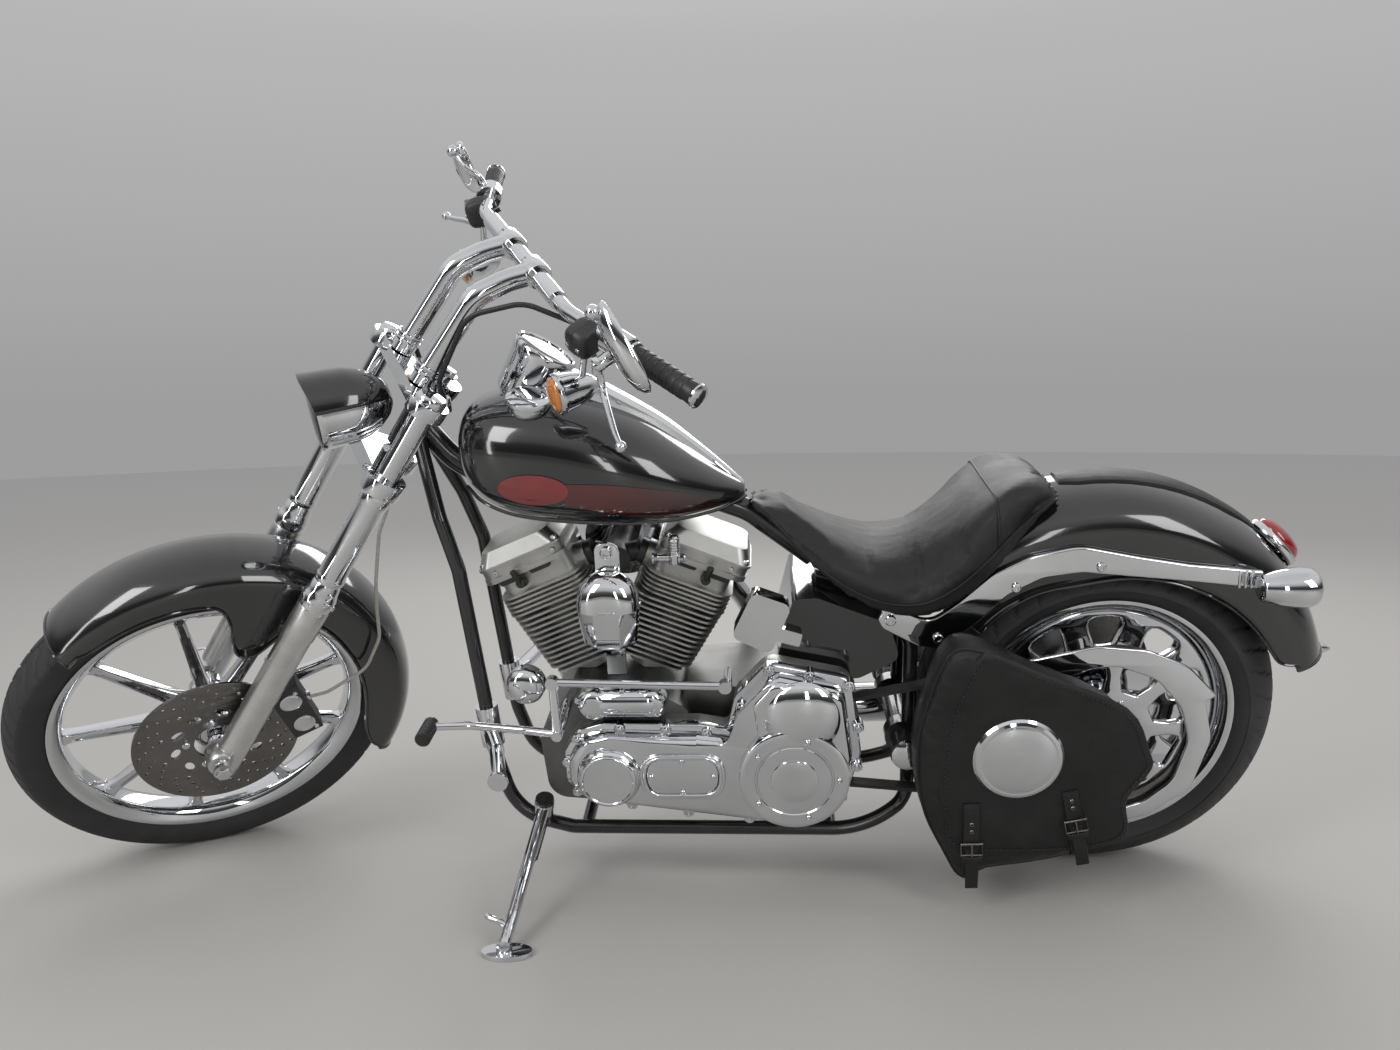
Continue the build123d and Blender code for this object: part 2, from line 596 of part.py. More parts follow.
FIN_LONG = 150.0
FIN_INNER = 84.0
with BuildPart() as cylinders:
    for side in SIDES:
        with BuildSketch(vee_plane(side, DECK)) as barrel:
            Circle(56)
        extrude(barrel.sketch, amount=BARREL_TOP - DECK)
        pitch = (BARREL_TOP - DECK - 20) / FIN_COUNT
        for index in range(FIN_COUNT):
            outer = 67 + 19 * index / FIN_COUNT
            vee_block(side, DECK + 22 + index * pitch, FIN_LONG, outer, FIN_INNER, 34, pitch * 0.4)
    with Locations((crank.X, 0, 450)):
        Box(3, 300, 300, mode=Mode.SUBTRACT)
    split_low = Plane.XY.offset(426)
    split(bisect_by=split_low, keep=Keep.TOP)
keep(cylinders, "cylinders", "parked")

INTAKE = Vector(crank.X, 0, 628)
PORT = 84.0


def intake_port(side):
    """Middle of a head and of the flat round face where its intake arm is bolted on."""
    centre = vee_plane(side, 345).origin
    lean = math.radians(VEE)
    return centre, centre - Vector(side * PORT * math.cos(lean), 0, -PORT * math.sin(lean))


with BuildPart() as cylinder_heads:
    for side in SIDES:
        vee_block(side, BARREL_TOP + SEAT_GAP, 118, 76, 66, 22, HEAD_TOP - BARREL_TOP - SEAT_GAP)
        for index in range(HEAD_FINS):
            vee_block(side, BARREL_TOP + 3 + index * 9, FIN_LONG, 88, FIN_INNER - 6, 34, 4)
        vee_block(side, HEAD_TOP - 10, FIN_LONG, 98, 72, 26, 10)
        centre, port = intake_port(side)
        rod(centre + (port - centre) * 0.7, port, 27)
keep(cylinder_heads, "cylinder_heads", "parked")

with BuildPart() as rocker_boxes:
    for side in SIDES:
        vee_block(side, HEAD_TOP, 140, 96, 68, 22, 16)
        vee_block(side, HEAD_TOP + 16, 146, 99, 71, 24, 5)
        faces = []
        for distance, long, outer, inner in ((HEAD_TOP + 21, 140, 96, 68), (ROCKER_TOP, 118, 82, 50)):
            with BuildSketch(vee_plane(side, distance)) as level:
                with Locations((0, -side * (outer - inner) / 2)):
                    RectangleRounded(long, outer + inner, 20)
            faces.append(level.sketch)
        loft(faces)
keep(rocker_boxes, "rocker_boxes", "parked")

with BuildPart() as cam_cover:
    plate([(-150, 225), (30, 205), (95, 270), (60, 370), (-60, 395), (-140, 330)], [30, 30, 30, 30, 30, 30],
          112, 88)
keep(cam_cover, "cam_cover", "parked")

with BuildPart() as pushrod_tubes:
    for side in SIDES:
        for spread in (18, 46):
            rod((crank.X + side * spread, 100, 370), vee_plane(side, HEAD_TOP - 4).origin
                + Vector(side * (spread - 75), 84, 0), 9)
    add(cam_cover.part, mode=Mode.SUBTRACT)
    add(crankcase.part, mode=Mode.SUBTRACT)
keep(pushrod_tubes, "pushrod_tubes", "parked")

with BuildPart() as intake:
    rod((INTAKE.X, -26, INTAKE.Z), (INTAKE.X, 108 - SEAT_GAP, INTAKE.Z), 27)
    for side in SIDES:
        centre, port = intake_port(side)
        out = (port - centre).normalized()
        rod(INTAKE, port + out * 12, 19)
        rod(port + out * SEAT_GAP, port + out * 14, 24)
keep(intake, "intake", "parked")

with BuildPart() as air_cleaner:
    rod((INTAKE.X, 108, 625), (INTAKE.X, 162, 625), 78, 70)
keep(air_cleaner, "air_cleaner", "parked")

with BuildPart() as horn_cover:
    plate([(-80, 612), (-62, 644), (-28, 658), (6, 644), (26, 612), (14, 524), (-70, 524)],
          [24, 24, 24, 24, 24, 10, 10], -150, -178)
    rod((-28, -150, 606), (-28, -198, 606), 53, 46)
    plate([(-68, 524), (12, 524), (20, 606), (-76, 606)], 8, -178, -192)
    plate([(-48, 600), (-6, 600), (-6, 706), (-48, 706)], [2, 2, 18, 18], -144, -150)
    rod((-27, -140, 690), (-27, -158, 690), 12)
    plate([(-50, 425 + SEAT_GAP), (-14, 425 + SEAT_GAP), (-14, 592), (-50, 592)], [2, 2, 8, 8], -80, -86)
    rod((-32, -86, 572), (-32, -150, 572), 12)
keep(horn_cover, "horn_cover", "parked")

# Primary drive housing on the left, transmission behind the engine

PRIMARY = [(-124, 317), (-99, 361), (-54, 375), (121, 371), (173, 361), (188, 429), (244, 490),
           (388, 458), (407, 312), (383, 231), (295, 164), (116, 188), (-64, 216), (-99, 228), (-124, 259)]
PRIMARY_ROUND = [22, 22, 30, 30, 12, 24, 30, 30, 40, 40, 60, 60, 30, 22, 22]
with BuildPart() as primary_case:
    plate(PRIMARY, PRIMARY_ROUND, -134, -160)
keep(primary_case, "primary_case", "parked")

with BuildPart() as primary_cover:
    plate(PRIMARY, PRIMARY_ROUND, -160, -204)
    rod((287, -204, 284), (287, -224, 284), 97)
    rod((-41, -204, 284), (-41, -222, 284), 50, 44)
    rod((300, -204, 398), (300, -214, 398), 66, 48)
    plate([(20, 245), (160, 245), (160, 326), (20, 326)], [38, 38, 38, 38], -204, -214)
keep(primary_cover, "primary_cover", "parked")

with BuildPart() as transmission:
    plate([(66, 200), (400, 200), (410, 360), (260, 410), (90, 400)], [5, 30, 30, 30, 5], 88, -98)
    add(crankcase.part, mode=Mode.SUBTRACT)
keep(transmission, "transmission", "parked")

# Belt drive and guard

with BuildPart() as drive_belt:
    pulley = Vector(330, BELT_Y, 300)
    for grow, mode in ((BELT_THICK, Mode.ADD), (0, Mode.SUBTRACT)):
        with BuildSketch(Plane.XZ.offset(-BELT_Y - BELT_WIDTH / 2)) as loop:
            with Locations((pulley.X, pulley.Z)):
                Circle(PULLEY_R + 1 + grow)
            with Locations((rear_hub.X, rear_hub.Z)):
                Circle(SPROCKET_R + 1 + grow)
            make_hull()
        extrude(loop.sketch, amount=BELT_WIDTH, mode=mode)
keep(drive_belt, "drive_belt", "parked")

with BuildPart() as front_pulley:
    rod((330, -98, 300), (330, -131, 300), PULLEY_R)
keep(front_pulley, "front_pulley", "parked")

# The guard follows the belt's upper run and hooks round the rear of the sprocket
GUARD_OUTER = [(600, 440), (705, 474), (812, 497), (900, 488), (970, 457), (1024, 400), (1006, 388),
               (1024, 314), (998, 212), (930, 160), (872, 142)]
GUARD_INNER = [(872, 172), (918, 188), (964, 230), (984, 312), (966, 376), (918, 432), (850, 458), (748, 448),
               (600, 412)]
with BuildPart() as belt_guard:
    plate(GUARD_OUTER + GUARD_INNER, 4, -135, -139)
    rod((680, -135, 436), (680, -139, 436), 16)
    plate([(665, 320), (695, 320), (695, 440), (665, 436)], 3, -135, -139)
    rod((680, -137, 309), (680, -137, 322), 6)
    add(swingarm.part, mode=Mode.SUBTRACT)
keep(belt_guard, "belt_guard", "parked")

# Starter motor above the primary housing

with BuildPart() as starter:
    rod((-98, -166, 405.3), (36, -166, 405.3), 30)
    rod((36, -166, 405.3), (64, -166, 405.3), 22, 18)
    add(primary_cover.part, mode=Mode.SUBTRACT)
    add(crankcase.part, mode=Mode.SUBTRACT)
keep(starter, "starter", "parked")

# Gear shift: a toe lever and bell crank on a shaft in the crankcase, a rod, and the gearbox lever

SHIFT_PIVOT = Vector(-116, -250, 398)
SHIFT_FRONT = Vector(-120, -240, 490)
SHIFT_REAR = Vector(172, -240, 480)
with BuildPart() as shift_linkage:
    rod((SHIFT_PIVOT.X, -134 - SEAT_GAP, SHIFT_PIVOT.Z), (SHIFT_PIVOT.X, -262, SHIFT_PIVOT.Z), 9)
    tube([SHIFT_PIVOT, (-172, -258, 410), (-254, -290, 438), (-318, -300, 442)], [40, 60], 7)
    rod((-318, -285, 442), (-318, -345, 442), 10)
    rod(SHIFT_PIVOT, SHIFT_FRONT, 9, 7)
    rod(SHIFT_FRONT, SHIFT_REAR, 7)
    rod(SHIFT_FRONT - Vector(0, 8, 0), SHIFT_FRONT + Vector(0, 8, 0), 11)
    rod(SHIFT_REAR - Vector(0, 8, 0), SHIFT_REAR + Vector(0, 8, 0), 11)
    tube([SHIFT_REAR, (172, -206, 458), (172, -92, 440), (172, -84, 398)], [16, 20], 7)
    add(transmission.part, mode=Mode.SUBTRACT)
keep(shift_linkage, "shift_linkage", "parked")

# Rear brake caliper, carried by the right arm

with BuildPart() as rear_caliper:
    angle = math.radians(150)
    cal = rear_hub + Vector(math.cos(angle) * 132, REAR_DISC_Y, math.sin(angle) * 132)
    with Locations(Plane(origin=cal, x_dir=(math.cos(angle), 0, math.sin(angle)), z_dir=(0, 1, 0))):
        Box(56, 110, 38)
    spun(rear_hub, [(REAR_DISC_Y - 5, 40), (REAR_DISC_Y - 5, 155), (REAR_DISC_Y + 5, 155),
                    (REAR_DISC_Y + 5, 40)], mode=Mode.SUBTRACT)
    rod((cal.X, REAR_DISC_Y + 18, 330), (cal.X, REAR_DISC_Y + 18, cal.Z), 13)
    add(swingarm.part, mode=Mode.SUBTRACT)
keep(rear_caliper, "rear_caliper", "parked")

# Oil tank, coil cover

OIL_TANK_HALF = 118.0
with BuildPart() as oil_tank:
    plate([(290, 583), (331, 586), (458, 535), (478, 467), (403, 428), (258, 458)],
          [10, 20, 30, 20, 30, 20], OIL_TANK_HALF, -OIL_TANK_HALF)
keep(oil_tank, "oil_tank", "parked")

with BuildPart() as coil_cover:
    plate([(221, 620), (287, 594), (249, 504), (182, 538)], 14, -134, -172)
    plate([(232, 520), (300, 500), (306, 524), (240, 545)], 3, -OIL_TANK_HALF - SEAT_GAP, -134)
keep(coil_cover, "coil_cover", "parked")

# Fuel tank: lofted teardrop with a tunnel for the backbone

# x, half width, top, widest height, bottom
TANK = [
    (-291, 52, 892, 862, 828),
    (-272, 98, 924, 850, 778),
    (-200, 142, 952, 838, 730),
    (-80, 152, 945, 820, 711),
    (50, 134, 886, 790, 712),
    (140, 86, 818, 765, 722),
    (205, 34, 768, 752, 738),
]
with BuildPart() as fuel_tank:
    sections = []
    for x, half, high, wide, low in TANK:
        outline = [(-half * 0.7, low), (half * 0.7, low), (half, wide), (half * 0.62, high - 8),
                   (-half * 0.62, high - 8), (-half, wide)]
        corner = min(half * 0.3, (high - low) * 0.22)
        sections.append((x, outline, corner))
    loft_sections(sections)
    plate([(-320, 700), (230, 700), (230, 742), (150, 766), (-320, 856)], 1,
          BACKBONE_R + SEAT_GAP, -BACKBONE_R - SEAT_GAP, mode=Mode.SUBTRACT)
keep(fuel_tank, "fuel_tank", "parked")

with BuildPart() as dash_console:
    plate([(-262, 952), (-200, 972), (-90, 985), (-65, 963), (21, 921), (90, 875), (142, 828), (208, 768),
           (200, 772), (140, 822), (50, 890), (-80, 948), (-200, 955)],
          [0, 10, 10, 10, 30, 30, 30, 0, 0, 30, 30, 30, 0], 45, -45)
    rod((-178, 0, 940), (-131, 0, 1012), 57)
    add(fuel_tank.part, mode=Mode.SUBTRACT)
keep(dash_console, "dash_console", "parked")

# Solo seat, saddle-shaped over the frame rails and the fender

REAR_FENDER_HUB = Vector(830, 0, 345)
REAR_FENDER_R = 420.0
# x, half width, centre top, side height, bottom edge
SEAT = [
    (222, 42, 752, 747, 718),
    (290, 92, 722, 702, 676),
    (370, 138, 684, 655, 612),
    (440, 158, 665, 632, 580),
    (510, 164, 686, 642, 568),
    (590, 158, 738, 705, 600),
    (660, 142, 777, 765, 665),
    (735, 112, 776, 768, 725),
]
with BuildPart() as seat:
    sections = []
    for x, half, high, side_z, low in SEAT:
        outline = [(-half, low), (-half * 0.8, low), (-half * 0.7, (low + side_z) / 2),
                   (half * 0.7, (low + side_z) / 2), (half * 0.8, low), (half, low),
                   (half, side_z - 6), (half * 0.6, high), (-half * 0.6, high), (-half, side_z - 6)]
        sections.append((x, outline, 3))
    loft_sections(sections)
    under = REAR_FENDER_R + 0.9
    spun(REAR_FENDER_HUB, [(-119, 0), (-119, under - 71.9), (-86, under - 11.7), (0, under),
                           (86, under - 11.7), (119, under - 71.9), (119, 0)], mode=Mode.SUBTRACT)
    for degrees in (108, 125):
        stem = Vector(math.cos(math.radians(degrees)), 0, math.sin(math.radians(degrees)))
        rod(REAR_FENDER_HUB + stem * (REAR_FENDER_R + SEAT_GAP),
            REAR_FENDER_HUB + stem * (REAR_FENDER_R + 16), 12)
keep(seat, "seat", "parked")

# Rear fender and its struts, lamps

with BuildPart() as rear_fender:
    spun(REAR_FENDER_HUB, shell_profile(118, REAR_FENDER_R, 348, 275, SHEET), arc=124, start=18)
keep(rear_fender, "rear_fender", "parked")

STRUT_TOP = [(440, 558), (454, 571), (525, 542), (574, 579), (629, 630), (693, 661), (773, 677), (872, 654),
             (955, 639), (1070, 626)]
STRUT_LOW = [(1070, 605), (958, 613), (777, 628), (712, 620), (657, 590), (610, 542), (545, 491), (510, 497),
             (446, 535)]
with BuildPart() as fender_struts:
    for side in SIDES:
        near, far = (118.3, 130) if side > 0 else (-130, -118.3)
        plate(STRUT_TOP + STRUT_LOW, 3, far, near)
        rod((494, side * 118.3, 520), (494, side * 95, 520), 9)
    add(frame_cradle.part, mode=Mode.SUBTRACT)
keep(fender_struts, "fender_struts", "parked")

with BuildPart() as rear_signals:
    for side in SIDES:
        rod((1070, side * 160, 615), (1140, side * 160, 615), 34, 22)
        rod((1085, side * 130, 615), (1085, side * 150, 615), 10)
keep(rear_signals, "rear_signals", "parked")

with BuildPart() as tail_lamp:
    angle = math.radians(42)
    up = Vector(math.cos(angle), 0, math.sin(angle))
    rod(REAR_FENDER_HUB + up * (REAR_FENDER_R + 0.3), REAR_FENDER_HUB + up * (REAR_FENDER_R + 34), 46, 38)
keep(tail_lamp, "tail_lamp", "parked")

# Saddlebag on the left

BAG = [(535, 553), (595, 552), (687, 507), (831, 442), (877, 357), (880, 328), (839, 269), (843, 189),
       (749, 137), (620, 115), (578, 87), (540, 146), (493, 248), (483, 366), (502, 461)]
with BuildPart() as saddlebag:
    plate(BAG, 10, BAG_INNER, -270)
keep(saddlebag, "saddlebag", "parked")

# Exhaust on the right: two head pipes into staggered silencers

with BuildPart() as exhaust:
    tube([(-175, 77.9, 590), (-181, 125, 586), (-208, 152, 470), (-165, 172, 270), (-90, 190, 208),
          (240, 205, 205)], [30, 60, 150, 60], 21)
    tube([(122, 77.9, 590), (128, 125, 586), (196, 172, 470), (262, 196, 352), (330, 210, 330)],
         [30, 70, 60], 21)
    rod((240, 205, 205), (930, 226, 205), 42)
    rod((330, 210, 330), (980, 230, 312), 42)
keep(exhaust, "exhaust", "parked")

# Foot controls

PEG = Vector(-204, 330, 358)
with BuildPart() as foot_controls:
    for side in SIDES:
        low, high = Vector(-273.7, side * 94.8, 290), Vector(-280.4, side * 94.2, 370)
        rod(low, high, 21)
        rod((-277, side * 112, 330), (-235, side * 215, 345), 14)
        bore(low + (low - high), high + (high - low), CRADLE_R + SEAT_GAP)
        rod((-235, side * 215, 345), mirrored(PEG, side), 13)
        rod(mirrored(PEG, side), mirrored(PEG, side) + Vector(0, side * 8, 0), 17)
keep(foot_controls, "foot_controls", "parked")

# Parked stance: lean, then settle both tyres on the floor


def turned(centre, direction, degrees):
    """Turn about the line through centre along direction."""
    frame = Plane(origin=centre, z_dir=direction).location
    return frame * Location((0, 0, 0), (0, 0, degrees)) * frame.inverse()


def moved_point(stance, point):
    """Where a point goes when the bike takes a stance."""
    return (stance * Location(tuple(point))).position


def lowest(stance, hub, tyre_r, crown_r):
    """Lowest height of a tyre that stands as stance says."""
    centre = moved_point(stance, hub)
    side = moved_point(stance, hub + Vector(0, 1, 0)) - centre
    return centre.Z - (tyre_r - crown_r) * math.sqrt(1 - side.Z**2) - crown_r


parked = Location((0, 0, 0), (LEAN, 0, 0))
steered = turned(steer_base, steer_dir, STEER)
for step in range(4):
    nose = lowest(parked * steered, front_hub, FRONT_TYRE_R, FRONT_CROWN_R)
    tail_end = lowest(parked, rear_hub, REAR_TYRE_R, REAR_CROWN_R)
    pitch = -math.degrees(math.atan2(nose - tail_end, WHEELBASE))
    parked = Location((0, 0, -tail_end), (0, pitch, 0)) * parked

# Side stand: a leg on a pin through the frame's bracket, its foot flat on the floor

STAND_PIVOT = Vector(-175, -152, 190)
STAND_FLOOR = Vector(-194, -453, 0)
STAND_FOLDED = Vector(0.97, -0.16, -0.19)
STAND_PIN_R = 8.0
STAND_KNUCKLE = 13.0
foot = moved_point(parked.inverse(), STAND_FLOOR)
ankle = moved_point(parked.inverse(), STAND_FLOOR + Vector(0, 0, 16))
leg_dir = (ankle - STAND_PIVOT).normalized()
stand_axis = leg_dir.cross(STAND_FOLDED.normalized()).normalized()
stand_swing = leg_dir.get_angle(STAND_FOLDED)

with BuildPart() as side_stand:
    rod(STAND_PIVOT + leg_dir * 10, ankle, 12, 10)
    rod(STAND_PIVOT - stand_axis * STAND_KNUCKLE, STAND_PIVOT + stand_axis * STAND_KNUCKLE, 18)
    bore(STAND_PIVOT - stand_axis * 20, STAND_PIVOT + stand_axis * 20, STAND_PIN_R + PIN_GAP)
    floor_plane = Plane(parked.inverse() * Location((STAND_FLOOR.X + 4, STAND_FLOOR.Y, 0)))
    with BuildSketch(floor_plane) as pad:
        Ellipse(42, 24)
    extrude(pad.sketch, amount=8)
    rod(moved_point(parked.inverse(), STAND_FLOOR + Vector(0, 0, 4)), ankle, 13)
keep(side_stand, "side_stand", "parked")

with BuildPart() as stand_bracket:
    rod(STAND_PIVOT - stand_axis * 16, STAND_PIVOT + stand_axis * 16, STAND_PIN_R)
    for end in SIDES:
        rod(STAND_PIVOT + stand_axis * (end * (STAND_KNUCKLE + PIN_GAP)),
            STAND_PIVOT + stand_axis * (end * (STAND_KNUCKLE + PIN_GAP + 7)), 17)
    rail = Vector(-176, -114, 132)
    lug = STAND_PIVOT - stand_axis * (STAND_KNUCKLE + PIN_GAP + 6)
    rod(rail + (lug - rail).normalized() * (CRADLE_R + 2), lug, 10)
keep(stand_bracket, "stand_bracket", "parked")

# Put every piece in its parked place, with the origin under the middle of the whole bike

stances = {"parked": parked, "steering": parked * steered}
placed = {label: part.moved(stances[stance]) for label, (part, stance) in pieces.items()}
boxes = [part.bounding_box() for part in placed.values()]
centre_x = (min(box.min.X for box in boxes) + max(box.max.X for box in boxes)) / 2
centre_y = (min(box.min.Y for box in boxes) + max(box.max.Y for box in boxes)) / 2
shift = Location((-centre_x, -centre_y, 0))
for label, part in placed.items():
    finished = part.moved(shift)
    finished.label = label
    export_step(finished, f"parts/{label}.step")
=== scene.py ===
import json
from math import asin, copysign, cos, pi, radians, sin, tan

import bmesh
import bpy
from mathutils import Matrix, Vector
from mathutils.bvhtree import BVHTree


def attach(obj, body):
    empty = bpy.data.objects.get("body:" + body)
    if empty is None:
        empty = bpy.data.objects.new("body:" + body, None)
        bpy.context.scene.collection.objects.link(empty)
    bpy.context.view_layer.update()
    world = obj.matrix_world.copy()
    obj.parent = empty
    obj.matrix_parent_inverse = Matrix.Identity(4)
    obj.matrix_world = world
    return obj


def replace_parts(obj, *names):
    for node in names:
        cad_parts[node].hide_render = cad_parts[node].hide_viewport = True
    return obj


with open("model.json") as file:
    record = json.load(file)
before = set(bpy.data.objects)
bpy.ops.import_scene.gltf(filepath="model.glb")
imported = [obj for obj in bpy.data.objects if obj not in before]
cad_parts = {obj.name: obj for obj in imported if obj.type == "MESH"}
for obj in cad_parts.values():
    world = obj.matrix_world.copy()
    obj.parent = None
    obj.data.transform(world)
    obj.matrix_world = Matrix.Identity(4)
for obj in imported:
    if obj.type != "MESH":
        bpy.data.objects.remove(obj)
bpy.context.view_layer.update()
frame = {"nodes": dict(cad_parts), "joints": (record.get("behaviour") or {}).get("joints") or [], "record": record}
nodes = frame["nodes"]
joints = {joint["name"]: joint for joint in frame["joints"]}

# Lengths in this script are millimetres on the upright motorcycle: X runs to its rear, Y to the
# rider's right and Z up. A piece is drawn there and moved to its parked place with its body.
MM = 0.001
SIDES = (-1, 1)
LEFT = (0, -1, 0)
RIGHT = (0, 1, 0)
RAKE = radians(35.0)
FRONT_HUB = Vector((-849, 0, 345))
REAR_HUB = Vector((850, 0, 326))


def stance_of(wheel_joint, hub):
    """Matrix from upright millimetres to the row frame for what stands square to that wheel."""
    side = Vector(joints[wheel_joint]["axis"]).normalized()
    steer = Vector(joints["steering_turn"]["axis"]).normalized()
    back = side.cross(steer)
    rear = steer * sin(RAKE) + back * cos(RAKE)
    up = steer * cos(RAKE) - back * sin(RAKE)
    turn = Matrix((rear, side, up)).transposed() * MM
    place = Vector(joints[wheel_joint]["pos_m"]) - turn @ hub
    return Matrix.Translation(place) @ turn.to_4x4()


PARKED = stance_of("rear_wheel_spin", REAR_HUB)
STEERED = stance_of("front_wheel_spin", FRONT_HUB)
STANCE = {
    "chassis": PARKED,
    "rear_wheel": PARKED,
    "side_stand": PARKED,
    "steering": STEERED,
    "front_wheel": STEERED,
}

# Camera, at the photograph's place relative to the rear axle

CAMERA_FROM_AXLE = Vector((-0.6122, -2.0172, 0.5828))
YAW = radians(-3.4)
PITCH = radians(-7.0)
ROLL = radians(-1.0)
LENS = 27.6

forward = Vector((sin(YAW) * cos(PITCH), cos(YAW) * cos(PITCH), sin(PITCH)))
right = Vector((cos(YAW), -sin(YAW), 0))
up = right.cross(forward)
camera = bpy.data.objects.new("camera", bpy.data.cameras.new("camera"))
camera.data.lens = LENS
camera.data.sensor_width = 36
across = right * cos(ROLL) + up * sin(ROLL)
above = up * cos(ROLL) - right * sin(ROLL)
place = Vector(joints["rear_wheel_spin"]["pos_m"]) + CAMERA_FROM_AXLE
camera.matrix_world = Matrix.Translation(place) @ Matrix((across, above, -forward)).transposed().to_4x4()
bpy.context.scene.collection.objects.link(camera)
bpy.context.scene.camera = camera

# Materials

MATERIALS = {}


def nodes_of(name):
    """Node tree and shader of a new material, which is kept in MATERIALS."""
    material = bpy.data.materials.new(name)
    material.use_nodes = True
    MATERIALS[name] = material
    return material.node_tree, material.node_tree.nodes["Principled BSDF"]


def coordinates(tree, output="Object"):
    """Coordinates of a point, by default those of its object."""
    return tree.nodes.new("ShaderNodeTexCoord").outputs[output]


def noise(tree, scale, detail=3.0):
    """Noise in object coordinates, scale in waves per metre."""
    texture = tree.nodes.new("ShaderNodeTexNoise")
    texture.inputs["Scale"].default_value = scale
    texture.inputs["Detail"].default_value = detail
    tree.links.new(coordinates(tree), texture.inputs["Vector"])
    return texture.outputs["Fac"]


def spread(tree, value, low, high, start=0.3, end=0.7):
    """Map a texture's value to a range."""
    node = tree.nodes.new("ShaderNodeMapRange")
    node.inputs["From Min"].default_value = start
    node.inputs["From Max"].default_value = end
    node.inputs["To Min"].default_value = low
    node.inputs["To Max"].default_value = high
    tree.links.new(value, node.inputs["Value"])
    return node.outputs["Result"]


def bump(tree, shader, height, depth):
    """Bump of a height in metres, after any bump that the shader has."""
    node = tree.nodes.new("ShaderNodeBump")
    node.inputs["Strength"].default_value = 1.0
    node.inputs["Distance"].default_value = depth
    tree.links.new(height, node.inputs["Height"])
    normal = shader.inputs["Normal"]
    if normal.is_linked:
        tree.links.new(normal.links[0].from_socket, node.inputs["Normal"])
    tree.links.new(node.outputs["Normal"], normal)


def tinted(tree, shader, value, dark, light):
    """Colour that runs from dark to light with a value."""
    ramp = tree.nodes.new("ShaderNodeValToRGB")
    ramp.color_ramp.elements[0].color = (*dark, 1)
    ramp.color_ramp.elements[1].color = (*light, 1)
    ramp.color_ramp.elements[0].position = 0.3
    ramp.color_ramp.elements[1].position = 0.7
    tree.links.new(value, ramp.inputs["Fac"])
    tree.links.new(ramp.outputs["Color"], shader.inputs["Base Color"])


def polish(tree, shader, value, low, high):
    """Roughness that runs from low to high with a value."""
    tree.links.new(spread(tree, value, low, high), shader.inputs["Roughness"])


def metal(name, dark, light, rough_low, rough_high, scale=40, grain=0.0):
    """Bare or plated metal whose polish varies a little."""
    tree, shader = nodes_of(name)
    shader.inputs["Metallic"].default_value = 1.0
    smear = noise(tree, scale)
    tinted(tree, shader, smear, dark, light)
    polish(tree, shader, smear, rough_low, rough_high)
    if grain:
        bump(tree, shader, noise(tree, 900, 2.0), grain)


def coated(name, dark, light, rough_low, rough_high, coat=0.0, scale=30, grain=0.0):
    """Paint, plastic or rubber, with or without a clear coat."""
    tree, shader = nodes_of(name)
    smear = noise(tree, scale)
    tinted(tree, shader, smear, dark, light)
    polish(tree, shader, smear, rough_low, rough_high)
    shader.inputs["Coat Weight"].default_value = coat
    shader.inputs["Coat Roughness"].default_value = 0.03
    if grain:
        bump(tree, shader, noise(tree, 700, 2.0), grain)


def leather(name, dark, light, pore, crease):
    """Grained leather: pores, a fine net of creases and softer worn patches."""
    tree, shader = nodes_of(name)
    wear = noise(tree, 14, 4.0)
    tinted(tree, shader, wear, dark, light)
    polish(tree, shader, wear, 0.42, 0.30)
    shader.inputs["Specular IOR Level"].default_value = 0.34
    cells = tree.nodes.new("ShaderNodeTexVoronoi")
    cells.feature = "DISTANCE_TO_EDGE"
    cells.inputs["Scale"].default_value = pore
    tree.links.new(coordinates(tree), cells.inputs["Vector"])
    bump(tree, shader, spread(tree, cells.outputs["Distance"], 0, 1, 0, 0.25), 0.00022)
    bump(tree, shader, noise(tree, crease, 5.0), 0.0012)


def glass(name, colour, rough):
    """Clear glass, a little uneven."""
    tree, shader = nodes_of(name)
    shader.inputs["Base Color"].default_value = (*colour, 1)
    shader.inputs["Transmission Weight"].default_value = 1.0
    shader.inputs["IOR"].default_value = 1.45
    polish(tree, shader, noise(tree, 20), rough, rough * 2)


def faded(name, red, black, start, end):
    """Clear-coated paint that fades along X from red to black."""
    tree, shader = nodes_of(name)
    axes = tree.nodes.new("ShaderNodeSeparateXYZ")
    tree.links.new(coordinates(tree), axes.inputs["Vector"])
    tinted(tree, shader, spread(tree, axes.outputs["X"], 0.3, 0.7, start, end), red, black)
    polish(tree, shader, noise(tree, 5), 0.08, 0.12)
    shader.inputs["Coat Weight"].default_value = 1.0


metal("chrome", (0.62, 0.63, 0.65), (0.71, 0.72, 0.74), 0.03, 0.07, scale=9)
metal("satin_alloy", (0.58, 0.58, 0.57), (0.68, 0.68, 0.67), 0.24, 0.34, scale=24, grain=0.00003)
metal("engine_silver", (0.40, 0.40, 0.385), (0.52, 0.52, 0.50), 0.36, 0.50, scale=18, grain=0.00012)
metal("disc_steel", (0.17, 0.16, 0.155), (0.21, 0.20, 0.19), 0.22, 0.30, scale=14, grain=0.00002)
coated("gloss_black", (0.006, 0.006, 0.007), (0.012, 0.012, 0.013), 0.10, 0.16, coat=1.0, scale=5)
coated("frame_black", (0.010, 0.010, 0.011), (0.018, 0.018, 0.019), 0.16, 0.28, coat=0.4, grain=0.00005)
coated("black_cast", (0.015, 0.015, 0.015), (0.03, 0.03, 0.03), 0.35, 0.5, grain=0.0001)
coated("tyre_rubber", (0.016, 0.016, 0.017), (0.030, 0.030, 0.031), 0.55, 0.72, scale=22, grain=0.00015)
